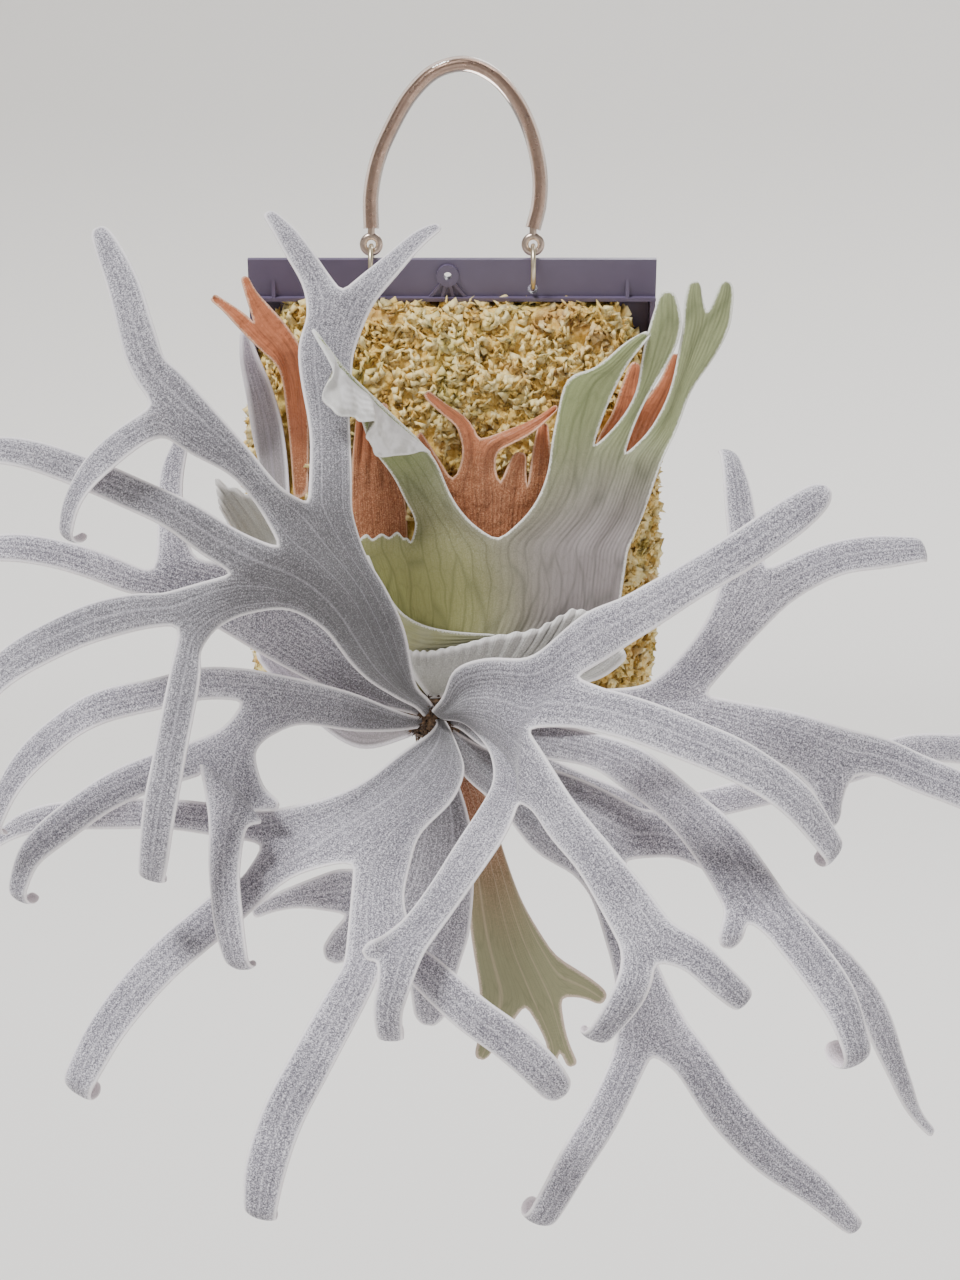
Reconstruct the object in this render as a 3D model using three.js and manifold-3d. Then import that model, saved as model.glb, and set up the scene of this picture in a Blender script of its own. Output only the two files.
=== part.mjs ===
// A staghorn fern on a hanging board, in millimetres with +Z up. X is to the right and -Y to the front.
// The origin is the hang point: the underside of the bail's top, where a hook bears.
//
// The bail stands upright and the board hangs from its rail, tilted so that its face looks a little down.
// The fern grows from one bud on the front of a mound of moss. Each frond and shield is one thin sheet:
// broad palms that split at crotches into strips. The sheets are laid out in the bud's own frame, as
// [right, up, forward], seen from an eye in front of the plant, and drawn in by perspective.

import * as THREE from "three";
import { mergeVertices } from "three/addons/utils/BufferGeometryUtils.js";
import Module from "manifold-3d";

const wasm = await Module();
wasm.setup();

// Board: a shallow tray with a rail that stands on its top wall
const BOARD_WIDTH = 182;
const BOARD_DROP = 180;
const WALL = 2.4;
const TRAY_BACK = 12;
const RAIL_TOP = 4;
const RAIL_BOTTOM = -14.5;
const RAIL_THICK = 3;
const LIP = { depth: 3, height: 1.6 };
const RING_HOLE_RADIUS = 2.3;
const BOSS = { x: -2, z: -3, radius: 5, hole: 1.8, proud: 2 };
const RIBS = { angles: [-38, -14, 14, 38], width: 1.4, depth: 2.4 };
const GUSSET = { x: 79, thick: 1.6, height: 10 };
const POST = { x: 73, width: 9, depth: 7, drop: 17, flange: 2, web: 2.4 };
const BOARD_TILT = THREE.MathUtils.degToRad(20);

// Bail: a wire in a soft tube, with an eye at each foot and a ring from each eye through the rail
const PIVOT = { x: -5.8, z: -85.5 };
const FOOT_X = 36;
const WIRE_RADIUS = 1.6;
const SLEEVE_RADIUS = 3.5;
const SLEEVE_BORE_RADIUS = 2.1;
const EYE_RADIUS = 3.6;
const RING_RADIUS = 9.5;
const RING_WIRE_RADIUS = 1.1;
const FOOT_TOP = 18;
const BAIL_STEPS = 26;

// Moss
const MOSS_HALF_WIDTH = 92;
const MOSS_TOP = 17;
const MOSS_BOTTOM = 200;
const MOSS_SHOULDER = 173;
const MOSS_HEIGHT = 84;
const MOSS_SEAT = 0.4;
const MOSS_FOOT = 10;
const LUMP_REACH = 2.5;
const MOSS_COLUMNS = 22;
const MOSS_ROWS = 22;

// Bud: its place below and in front of the rail, its radii, and the gap round it
const BUD = { right: -6.6, down: 174, out: 95.2 };
const BUD_RADII = [14, 15, 14];
const BUD_DEPTH = 13;
const SEAT_GAP = 0.35;
const MESH_GAP = 0.3;
const BUD_PITCH = THREE.MathUtils.degToRad(-26);

// The eye that the layout is seen from, in the bud's frame
const EYE = { right: 19, up: 32, distance: 1100 };

// Sheets
const FROND_THICK = 1.6;
const SHIELD_THICK = 1.2;
const STRIP_STEP = 15;
const PALM_STEP = 17;
const STRIP_ARCH = 0.1;
const PALM_ARCH = 0.06;
const STRIP_OUTWARD = 0.8;

const finish = (color, roughness, metalness = 0) =>
  new THREE.MeshStandardMaterial({ color, roughness, metalness });
const FELT = finish("#a9a8b3", 0.85);
const OLD_FELT = finish("#8d7a5c", 0.8);
const GREEN_SHIELD = finish("#8e9a72", 0.7);
const YOUNG_SHIELD = finish("#b9bab6", 0.8);
const DRY_SHIELD = finish("#a8694a", 0.75);
const GREY_SHIELD = finish("#96929c", 0.8);
const MOSS = finish("#d3bd72", 0.95);
const BARK = finish("#4c3b2c", 0.9);
const BOARD_PLASTIC = finish("#4a4456", 0.45);
const TUBE_PLASTIC = finish("#a08a80", 0.25);
const STEEL = finish("#d8d0bd", 0.3, 1);

// Solids

function toSolid(geometry) {
  const bare = geometry.clone();
  bare.deleteAttribute("normal");
  bare.deleteAttribute("uv");
  const merged = mergeVertices(bare, 1e-4);
  const vertProperties = new Float32Array(merged.attributes.position.array);
  const triVerts = new Uint32Array(merged.index.array);
  return new wasm.Manifold(new wasm.Mesh({ numProp: 3, vertProperties, triVerts }));
}

function toGeometry(solid) {
  const mesh = solid.getMesh();
  const geometry = new THREE.BufferGeometry();
  geometry.setAttribute("position", new THREE.BufferAttribute(mesh.vertProperties, 3));
  geometry.setIndex(new THREE.BufferAttribute(mesh.triVerts, 1));
  return geometry;
}

function node(name, geometry, material) {
  const mesh = new THREE.Mesh(geometry, material);
  mesh.name = name;
  return mesh;
}

// Sheets: a middle surface of shared vertices and triangles, then a thickness

class Sheet {
  constructor() {
    this.points = [];
    this.triangles = [];
  }

  addPoint(point) {
    this.points.push(point.clone());
    return this.points.length - 1;
  }

  // Joins two rows of vertex numbers, each from the left edge to the right edge.
  joinRows(lower, upper) {
    for (let j = 0; j < lower.length - 1; j++) {
      const [a, b, c, d] = [lower[j], lower[j + 1], upper[j + 1], upper[j]];
      if (j * 2 < lower.length - 1) {
        this.triangles.push([a, b, c], [a, c, d]);
      } else {
        this.triangles.push([a, b, d], [b, c, d]);
      }
    }
  }

  normals() {
    const sums = this.points.map(() => new THREE.Vector3());
    const edge1 = new THREE.Vector3();
    const edge2 = new THREE.Vector3();
    for (const [a, b, c] of this.triangles) {
      edge1.subVectors(this.points[b], this.points[a]);
      edge2.subVectors(this.points[c], this.points[a]);
      edge1.cross(edge2);
      for (const corner of [a, b, c]) sums[corner].add(edge1);
    }
    return sums.map((sum) => sum.normalize());
  }

  thicken(thickness) {
    const half = thickness / 2;
    const normals = this.normals();
    const count = this.points.length;
    const positions = [];
    for (const side of [half, -half]) {
      this.points.forEach((point, i) => {
        const moved = point.clone().addScaledVector(normals[i], side);
        positions.push(moved.x, moved.y, moved.z);
      });
    }
    const index = [];
    const open = new Map();
    for (const [a, b, c] of this.triangles) {
      index.push(a, b, c, a + count, c + count, b + count);
      for (const [from, to] of [[a, b], [b, c], [c, a]]) {
        if (!open.delete(`${to},${from}`)) open.set(`${from},${to}`, [from, to]);
      }
    }
    for (const [from, to] of open.values()) {
      index.push(from, from + count, to, to, from + count, to + count);
    }
    const geometry = new THREE.BufferGeometry();
    geometry.setAttribute("position", new THREE.Float32BufferAttribute(positions, 3));
    geometry.setIndex(index);
    return geometry;
  }
}

// A laid out [right, up, forward] becomes a point of the bud's frame, drawn in toward the line of sight.
function place([right, up, forward]) {
  const nearness = (EYE.distance - forward) / EYE.distance;
  const x = EYE.right + (right - EYE.right) * nearness;
  const z = EYE.up + (up - EYE.up) * nearness;
  return new THREE.Vector3(x, -forward, z);
}

function smoothCurve(points) {
  if (points.length === 1) points = [points[0], points[0]];
  return new THREE.CatmullRomCurve3(points, false, "centripetal");
}

const smooth = (t) => t * t * (3 - 2 * t);
const clamp01 = (t) => Math.min(1, Math.max(0, t));

// The places of a part's vertices across its start, from 0 at the left edge to 1 at the right edge.
function columnsOf(part) {
  if (part.strip && !part.kids) return [0, 0.5, 1];
  if (!part.kids) return Array.from({ length: part.columns + 1 }, (_, j) => j / part.columns);
  const shares = shareOut(part);
  const columns = [0];
  part.kids.forEach((kid, k) => {
    const inner = columnsOf(kid);
    for (const t of inner.slice(1)) columns.push(shares[k] + t * (shares[k + 1] - shares[k]));
  });
  return columns;
}

// Where the part's end is shared out among its kids, by the widths between its crotches.
function shareOut(part) {
  if (part.strip) return part.kids.map((_, k) => k / part.kids.length).concat(1);
  const [lr, lu, rr, ru, f, rightF = f] = part.palm[part.palm.length - 1];
  const corners = [[lr, lu, f], ...part.crotches, [rr, ru, rightF]].map(place);
  const lengths = [0];
  for (let k = 1; k < corners.length; k++) {
    lengths.push(lengths[k - 1] + corners[k].distanceTo(corners[k - 1]));
  }
  return lengths.map((length) => length / lengths[lengths.length - 1]);
}

// A palm is a fan between a left and a right edge. Its rows are [left right, left up, right right,
// right up, forward], with the right edge's own forward last where the row slants. The last row bends
// through the crotches.
function growPalm(sheet, part, start) {
  const columns = columnsOf(part);
  const lefts = part.palm.map(([lr, lu, , , f]) => place([lr, lu, f]));
  const rights = part.palm.map(([, , rr, ru, f, rightF = f]) => place([rr, ru, rightF]));
  const first = start ?? columns.map((t) => sheet.addPoint(lefts[0].clone().lerp(rights[0], t)));
  const firstPoints = first.map((i) => sheet.points[i]);
  if (start) {
    lefts.unshift(firstPoints[0].clone());
    rights.unshift(firstPoints[firstPoints.length - 1].clone());
  }
  const leftCurve = smoothCurve(lefts);
  const rightCurve = smoothCurve(rights);
  const length = (leftCurve.getLength() + rightCurve.getLength()) / 2;
  const count = Math.max(lefts.length - 1, Math.round(length / PALM_STEP));
  const ends = endRow(part, columns, lefts[lefts.length - 1], rights[rights.length - 1]);
  const startLine = columns.map((t) => lefts[0].clone().lerp(rights[0], t));
  const arch = part.arch ?? PALM_ARCH;
  let previous = first;
  const across = new THREE.Vector3();
  const along = new THREE.Vector3();
  for (let i = 1; i <= count; i++) {
    const t = i / count;
    const left = leftCurve.getPoint(t);
    const right = rightCurve.getPoint(t);
    across.subVectors(right, left);
    along.addVectors(leftCurve.getTangent(t), rightCurve.getTangent(t));
    const lift = across.clone().cross(along).normalize().multiplyScalar(across.length() * arch * 4);
    const row = columns.map((s, j) => {
      const point = left.clone().lerp(right, s);
      point.addScaledVector(lift, s * (1 - s) * smooth(t < 0.5 ? 2 * t : 1));
      const late = t ** 1.6;
      const early = (1 - t) ** 2;
      point.addScaledVector(ends[j], late);
      point.addScaledVector(firstPoints[j].clone().sub(startLine[j]), early);
      if (part.frill) {
        const wave = Math.sin(s * Math.PI * part.frill.waves) * part.frill.depth * late;
        point.y -= wave;
        point.z += wave * 0.5;
      }
      return point;
    });
    const numbers = row.map((point) => sheet.addPoint(point));
    sheet.joinRows(previous, numbers);
    previous = numbers;
  }
  growKids(sheet, part, previous);
}

// How far each vertex of a palm's last row lies from the straight line between its edges.
function endRow(part, columns, left, right) {
  const corners = [left, ...(part.crotches ?? []).map(place), right];
  const shares = part.kids ? shareOut(part) : corners.map((_, k) => k / (corners.length - 1));
  return columns.map((s) => {
    let k = 0;
    while (k < shares.length - 2 && s > shares[k + 1] + 1e-6) k++;
    const t = (s - shares[k]) / (shares[k + 1] - shares[k]);
    const point = corners[k].clone().lerp(corners[k + 1], clamp01(t));
    return point.sub(left.clone().lerp(right, s));
  });
}

// A strip follows its midrib through [right, up, forward, width] points. It faces forward at its start
// and more and more outward toward its tip, which may curl back under by [degrees, radius].
function growStrip(sheet, part, start) {
  const columns = columnsOf(part);
  const widths = part.strip.map((point) => point[3]);
  const route = part.strip.map(place);
  let first = start;
  if (start) {
    const left = sheet.points[start[0]];
    const right = sheet.points[start[start.length - 1]];
    route.unshift(left.clone().lerp(right, 0.5));
    widths.unshift(left.distanceTo(right));
  }
  const curve = smoothCurve(route);
  const length = curve.getLength();
  const count = Math.max(route.length - 1, Math.round(length / STRIP_STEP));
  const tip = route[route.length - 1];
  const outward = new THREE.Vector3(tip.x, 0, tip.z).normalize();
  const stations = [];
  for (let i = 0; i <= count; i++) {
    const t = i / count;
    const at = curve.getUtoTmapping(t) * (route.length - 1);
    const k = Math.min(route.length - 2, Math.floor(at));
    const width = widths[k] + (widths[k + 1] - widths[k]) * (at - k);
    const tangent = curve.getTangentAt(t);
    const face = new THREE.Vector3(0, -1, 0.25).addScaledVector(outward, (part.outward ?? STRIP_OUTWARD) * t);
    const across = tangent.clone().cross(face).normalize();
    stations.push({ centre: curve.getPointAt(t), tangent, across, width, s: t * length });
  }
  if (part.curl) addCurl(stations, part.curl);
  const total = stations[stations.length - 1].s;
  if (!part.kids) addRoundTip(stations, total);
  const firstPoints = start ? start.map((i) => sheet.points[i].clone()) : null;
  const settle = start ? Math.max(widths[0], widths[1]) * 1.1 : 1;
  let previous = first;
  const offsets = [];
  stations.forEach((station, i) => {
    const normal = station.across.clone().cross(station.tangent).normalize();
    const row = columns.map((t, j) => {
      const point = station.centre.clone().addScaledVector(station.across, (t - 0.5) * station.width);
      point.addScaledVector(normal, (1 - Math.abs(2 * t - 1)) * station.width * STRIP_ARCH);
      if (firstPoints) {
        if (i === 0) offsets.push(firstPoints[j].clone().sub(point));
        point.addScaledVector(offsets[j], 1 - smooth(clamp01(station.s / settle)));
      }
      return point;
    });
    if (i === 0 && start) return;
    const numbers = row.map((point) => sheet.addPoint(point));
    if (previous) sheet.joinRows(previous, numbers);
    previous = numbers;
  });
  growKids(sheet, part, previous);
}

function addCurl(stations, [degrees, radius]) {
  const last = stations[stations.length - 1];
  const turn = THREE.MathUtils.degToRad(degrees);
  const count = Math.max(2, Math.round(degrees / 36));
  const normal = last.across.clone().cross(last.tangent).normalize();
  for (let i = 1; i <= count; i++) {
    const angle = (turn * i) / count;
    const centre = last.centre.clone();
    centre.addScaledVector(last.tangent, radius * Math.sin(angle));
    centre.addScaledVector(normal, -radius * (1 - Math.cos(angle)));
    const tangent = last.tangent.clone().multiplyScalar(Math.cos(angle));
    tangent.addScaledVector(normal, -Math.sin(angle));
    const width = last.width * (1 - 0.3 * (i / count));
    stations.push({ centre, tangent, across: last.across, width, s: last.s + radius * angle });
  }
}

// The tip is rounded: its last half width narrows along an arc to a blunt end.
function addRoundTip(stations, total) {
  const last = stations[stations.length - 1];
  const reach = last.width / 2;
  const before = stations[stations.length - 2];
  if (total - before.s > reach * 1.4) {
    const t = 1 - reach / (total - before.s);
    stations.splice(stations.length - 1, 0, {
      centre: before.centre.clone().lerp(last.centre, t),
      tangent: before.tangent.clone().lerp(last.tangent, t).normalize(),
      across: before.across.clone().lerp(last.across, t).normalize(),
      width: before.width + (last.width - before.width) * t,
      s: total - reach,
    });
  }
  for (const station of stations) {
    const rest = clamp01((total - station.s) / reach);
    station.width *= 0.45 + 0.55 * Math.sqrt(1 - (1 - rest) ** 2);
  }
}

function growKids(sheet, part, row) {
  if (!part.kids) return;
  let from = 0;
  for (const kid of part.kids) {
    const span = columnsOf(kid).length - 1;
    const slice = row.slice(from, from + span + 1);
    if (kid.strip) growStrip(sheet, kid, slice);
    else growPalm(sheet, kid, slice);
    from += span;
  }
}

function grow(part) {
  const sheet = new Sheet();
  growPalm(sheet, part, null);
  return sheet;
}

// Fronds, front ones first. Kids run clockwise as the viewer sees them.

const frondA = {
  palm: [
    [-4, -4, 0, 0, -4],
    [-9, 2, -4, 6, 8],
    [-15, 5, -9, 11, 20],
    [-30, 14, -12, 24, 40],
    [-40, 24, -15, 38, 58, 54],
    [-50, 37, -23, 55, 72, 62],
    [-67, 46, -32, 70, 84, 68],
    [-87, 43, -38, 89, 92, 72],
  ],
  crotches: [[-91, 61, 96], [-70, 72, 92], [-58, 92, 82]],
  kids: [
    {
      palm: [[-98, 37, -105, 57, 102], [-105, 27, -122, 52, 112]],
      crotches: [[-114, 38, 113]],
      kids: [
        {
          strip: [[-111, 19, 118, 12], [-116, -8, 124, 12.5], [-122, -39, 126, 13],
            [-125, -61, 122, 12.5], [-126, -70, 118, 11]],
          curl: [120, 6],
          outward: 0.2,
        },
        {
          strip: [[-130, 45, 120, 15], [-148, 41, 128, 16], [-168, 33, 134, 16], [-186, 23, 138, 15],
            [-204, 6, 138, 14], [-214, -16, 132, 12]],
          curl: [120, 9],
        },
      ],
    },
    {
      strip: [[-96, 75, 100, 16], [-114, 87, 106, 14], [-135, 97, 112, 13], [-159, 107, 116, 13],
        [-176, 113, 118, 12], [-193, 116, 118, 12], [-211, 114, 114, 11], [-224, 103, 106, 10]],
      curl: [100, 9],
    },
    {
      palm: [
        [-79, 91, -69, 99, 98],
        [-91, 105, -84, 117, 104],
        [-108, 114, -97, 132, 108],
        [-120, 122, -115, 152, 110],
      ],
      crotches: [[-125, 136, 112]],
      kids: [
        {
          strip: [[-129, 126, 116, 12], [-141, 118, 120, 12.5], [-153, 106, 122, 12],
            [-162, 92, 122, 10], [-164, 82, 120, 8]],
          curl: [150, 5],
        },
        {
          strip: [[-127, 151, 112, 15], [-133, 169, 110, 14], [-138, 187, 106, 13],
            [-146, 206, 98, 10], [-150, 214, 94, 6]],
        },
      ],
    },
    {
      palm: [
        [-56, 107, -38, 108, 76, 70],
        [-56, 125, -39, 131, 68, 63],
        [-60, 147, -38, 148, 60, 56],
        [-61, 162, -37, 159, 55, 52],
        [-57, 175, -31, 175, 52, 50],
      ],
      crotches: [[-42, 185, 50]],
      kids: [
        { strip: [[-53, 190, 48, 11.5], [-61, 203, 46, 10.5], [-68, 213, 44, 9], [-75, 221, 42, 5]] },
        { strip: [[-33, 185, 50, 12], [-19, 199, 48, 10.5], [-6, 211, 46, 8], [1, 215, 45, 4]] },
      ],
    },
  ],
};

const frondB = {
  palm: [
    [-4, -3, -2, 1, -8],
    [-12, 0, -9, 4, 2],
    [-25, 3, -16, 11, 12],
    [-47, 10, -29, 23, 24],
    [-76, 25, -52, 45, 36],
    [-98, 38, -77, 63, 46],
    [-120, 50, -107, 67, 54],
  ],
  crotches: [[-125, 63, 56]],
  kids: [
    {
      strip: [[-133, 58, 60, 12], [-148, 64, 64, 12], [-164, 69, 66, 12], [-186, 73, 66, 12],
        [-206, 70, 62, 11], [-220, 58, 54, 9]],
      curl: [90, 9],
    },
    { strip: [[-117, 76, 54, 11.5], [-118, 91, 52, 11], [-117, 107, 50, 10.5], [-111, 126, 42, 6]] },
  ],
};

const frondC = {
  palm: [
    [-2, -6, -2, -2, -8],
    [-10, -7, -9, -2, 2],
    [-19, -8, -19, 1, 12],
    [-38, -8, -36, 8, 30],
    [-61, -5, -58, 14, 44],
    [-75, -11, -83, 19, 56],
  ],
  crotches: [[-86, 5, 60]],
  kids: [
    {
      palm: [[-81, -18, -94, -7, 64], [-77, -33, -111, -14, 72]],
      crotches: [[-84, -44, 76], [-102, -28, 74]],
      kids: [
        { strip: [[-74, -40, 78, 7], [-70, -41, 79, 4]] },
        {
          strip: [[-91, -34, 82, 15.5], [-93, -54, 92, 14], [-94, -74, 98, 13], [-92, -94, 100, 13],
            [-89, -108, 98, 12]],
          curl: [120, 6],
        },
        {
          strip: [[-115, -23, 78, 15], [-130, -28, 84, 14.5], [-148, -37, 90, 14.5],
            [-167, -51, 96, 14], [-181, -64, 98, 12.5], [-185, -76, 98, 9.5]],
          curl: [150, 6],
        },
      ],
    },
    {
      strip: [[-103, 13, 68, 13.5], [-124, 8, 76, 13], [-150, 2, 84, 14], [-175, -15, 90, 13.5],
        [-190, -34, 92, 12], [-195, -46, 90, 9]],
      curl: [110, 6],
    },
  ],
};

const frondD = {
  palm: [
    [3, -3, -1, -3, -4],
    [5, -6, 0, -5, 14],
    [9, -15, -4, -10, 30],
    [12, -26, -16, -18, 46],
    [6, -40, -33, -31, 62, 60],
    [-8, -54, -52, -39, 74, 64],
    [-13, -71, -77, -44, 82, 66],
  ],
  crotches: [[-36, -67, 82], [-76, -59, 68]],
  kids: [
    {
      palm: [[-15, -83, -38, -85, 90], [-10, -103, -40, -105, 98]],
      crotches: [[-21, -109, 102]],
      kids: [
        {
          strip: [[-7, -113, 108, 14], [15, -133, 112, 15.5], [33, -146, 114, 15.5],
            [48, -160, 112, 15], [55, -170, 106, 12]],
        },
        {
          strip: [[-33, -113, 104, 15], [-45, -135, 112, 16], [-57, -157, 120, 16.5],
            [-68, -178, 126, 16.5], [-76, -202, 130, 16], [-78, -218, 128, 13.5]],
          curl: [150, 6],
        },
      ],
    },
    {
      strip: [[-77, -74, 78, 17], [-101, -93, 86, 16], [-127, -116, 102, 16],
        [-148, -143, 116, 15.5], [-157, -160, 118, 13.5]],
      curl: [170, 7],
    },
    {
      strip: [[-94, -48, 66, 13], [-118, -45, 66, 12], [-145, -45, 66, 12], [-169, -46, 64, 11.5],
        [-185, -50, 60, 9], [-196, -58, 56, 5]],
    },
  ],
};

const frondE = {
  palm: [
    [-1, 1, 3, -2, -4],
    [-2, 1, 3, -3, 20],
    [3, 7, 11, -4, 36],
    [8, 19, 19, -11, 52],
    [23, 24, 24, -19, 66],
    [41, 24, 25, -31, 78],
    [57, 37, 18, -44, 88],
  ],
  crotches: [[64, 14, 92], [44, -9, 92], [39, -41, 92]],
  kids: [
    {
      strip: [[72, 35, 98, 21], [86, 42, 104, 17.5], [109, 56, 112, 15.5], [134, 71, 118, 15.5],
        [156, 86, 120, 15.5], [168, 95, 120, 12], [173, 99, 119, 7]],
    },
    {
      strip: [[68, 2, 98, 18.5], [90, -4, 106, 17.5], [116, -14, 112, 17.5], [138, -24, 114, 16.5],
        [160, -40, 112, 15.5], [174, -59, 106, 12.5]],
      curl: [150, 6],
    },
    {
      palm: [
        [48, -20, 42, -43, 98],
        [60, -39, 50, -55, 108],
        [74, -56, 62, -69, 116],
        [90, -75, 73, -88, 124],
        [104, -94, 82, -105, 130],
      ],
      crotches: [[96, -110, 132]],
      kids: [
        { strip: [[112, -106, 134, 13], [125, -118, 134, 12.5], [133, -125, 131, 11]], curl: [60, 7] },
        { strip: [[88, -118, 134, 13], [81, -131, 134, 13], [73, -141, 131, 12]], curl: [120, 6] },
      ],
    },
    {
      palm: [
        [31, -53, 8, -59, 98],
        [19, -71, -2, -75, 106],
        [5, -91, -14, -91, 114],
        [-6, -106, -24, -99, 124],
      ],
      crotches: [[-26, -110, 128]],
      kids: [
        { strip: [[-19, -121, 130, 13], [-22, -132, 128, 11], [-21, -141, 124, 10]], curl: [150, 6] },
        { strip: [[-29, -105, 129, 9], [-32, -104, 128, 6]] },
      ],
    },
  ],
};

const frondF = {
  palm: [
    [2, 0, 3, -3, -6],
    [8, 3, 9, -2, 10],
    [23, 9, 23, -4, 20],
    [48, 11, 48, -6, 30],
    [72, 10, 72, -7, 38],
    [92, 12, 96, -9, 44],
    [102, 19, 118, -13, 50],
  ],
  crotches: [[118, 8, 50]],
  kids: [
    {
      palm: [[112, 30, 130, 22, 56], [121, 44, 141, 34, 62], [127, 61, 153, 46, 66]],
      crotches: [[145, 63, 68]],
      kids: [
        {
          strip: [[136, 74, 68, 13.5], [134, 89, 66, 12.5], [132, 103, 60, 12], [130, 112, 54, 10]],
          curl: [60, 8],
        },
        {
          strip: [[158, 60, 68, 15.5], [176, 68, 70, 14.5], [196, 71, 68, 14.5], [211, 72, 64, 12]],
          curl: [90, 6],
        },
      ],
    },
    {
      palm: [[136, 4, 136, -18, 54], [158, 0, 156, -25, 56], [183, -8, 166, -34, 58]],
      crotches: [[184, -27, 58]],
      kids: [
        {
          strip: [[198, -20, 58, 16], [213, -27, 58, 16], [231, -34, 56, 15], [244, -42, 52, 13],
            [250, -52, 48, 11]],
          curl: [120, 8],
        },
        { strip: [[174, -39, 58, 11.5], [175, -50, 56, 9]] },
      ],
    },
  ],
};

const frondG = {
  palm: [
    [2, -2, 2, -5, -8],
    [10, -2, 10, -7, 4],
    [23, -4, 22, -16, 14],
    [48, -5, 45, -20, 24],
    [72, -10, 68, -24, 36],
    [92, -17, 83, -34, 50],
    [113, -34, 103, -50, 64],
    [132, -50, 118, -70, 74],
    [149, -73, 128, -88, 82],
  ],
  crotches: [[137, -92, 84]],
  kids: [
    {
      strip: [[151, -91, 90, 16], [166, -110, 96, 16.5], [179, -129, 100, 16], [185, -147, 100, 13.5]],
      curl: [190, 8],
    },
    { strip: [[131, -95, 86, 11], [128, -104, 85, 9]] },
  ],
};

const frondH = {
  palm: [
    [3, -3, 3, -6, -16],
    [12, -6, 11, -11, -10],
    [32, -12, 30, -25, -10],
    [63, -26, 60, -41, -8],
    [90, -37, 88, -51, -4],
  ],
  crotches: [],
  kids: [
    {
      strip: [[112, -42, -2, 13], [134, -37, 0, 12.5], [160, -31, 0, 12.5], [187, -23, -2, 12.5],
        [209, -16, -8, 12.5], [231, -16, -16, 12.5]],
      kids: [
        { strip: [[243, -11, -22, 8], [252, -7, -28, 6]] },
        { strip: [[242, -22, -24, 8], [248, -30, -32, 6]] },
      ],
    },
  ],
};

const frondI = {
  palm: [
    [2, -4, 0, -6, -10],
    [9, -9, 5, -13, -2],
    [21, -16, 11, -27, 2],
    [41, -22, 28, -42, 8],
    [67, -31, 43, -61, 14],
    [90, -43, 60, -71, 20],
  ],
  crotches: [[83, -65, 22]],
  kids: [
    {
      strip: [[107, -55, 26, 18], [134, -70, 30, 15.5], [152, -89, 32, 14.5], [173, -107, 30, 14],
        [190, -127, 26, 14], [199, -147, 22, 12], [206, -165, 16, 9], [212, -178, 10, 5],
        [219, -186, 6, 4]],
    },
    {
      palm: [
        [85, -79, 68, -81, 26],
        [92, -96, 74, -99, 32],
        [98, -113, 79, -118, 38],
        [110, -137, 80, -141, 44],
      ],
      crotches: [[95, -151, 46]],
      kids: [
        {
          strip: [[112, -153, 52, 16], [127, -175, 58, 17], [147, -196, 60, 16], [167, -211, 58, 13],
            [182, -225, 54, 9]],
          curl: [60, 8],
        },
        {
          strip: [[84, -156, 52, 14], [75, -175, 58, 14.5], [60, -200, 62, 15], [48, -221, 62, 13]],
          curl: [190, 6],
        },
      ],
    },
  ],
};

const frondJ = {
  palm: [
    [0, -5, -3, -4, -10],
    [1, -14, -4, -13, 2],
    [8, -28, -6, -28, 6],
    [15, -52, -13, -52, 10],
    [16, -76, -23, -69, 12],
    [14, -99, -43, -69, 14],
  ],
  crotches: [[-19, -105, 14], [-39, -89, 14]],
  kids: [
    { strip: [[-2, -118, 12, 20], [-3, -131, 8, 15], [-4, -138, 5, 9]] },
    { strip: [[-42, -103, 12, 12], [-47, -110, 10, 9]] },
    { strip: [[-60, -81, 14, 10], [-74, -85, 10, 6.5], [-81, -89, 8, 4]] },
  ],
};

const frondK = {
  palm: [
    [3, -6, -1, -7, -20],
    [6, -15, 1, -16, -12],
    [15, -24, 6, -26, -12],
    [23, -41, 9, -44, -18],
    [29, -61, 13, -68, -24],
    [38, -85, 15, -96, -28],
    [52, -108, 19, -121, -30],
  ],
  crotches: [[54, -125, -30], [39, -128, -30]],
  kids: [
    { strip: [[65, -121, -30, 10], [74, -127, -28, 6]] },
    {
      strip: [[51, -139, -30, 10], [54, -148, -30, 9]],
      kids: [{ strip: [[60, -156, -31, 4.5]] }, { strip: [[50, -157, -31, 4]] }],
    },
    { strip: [[25, -139, -32, 11], [19, -153, -33, 6]] },
  ],
};

// Shields, the front ones first

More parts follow.
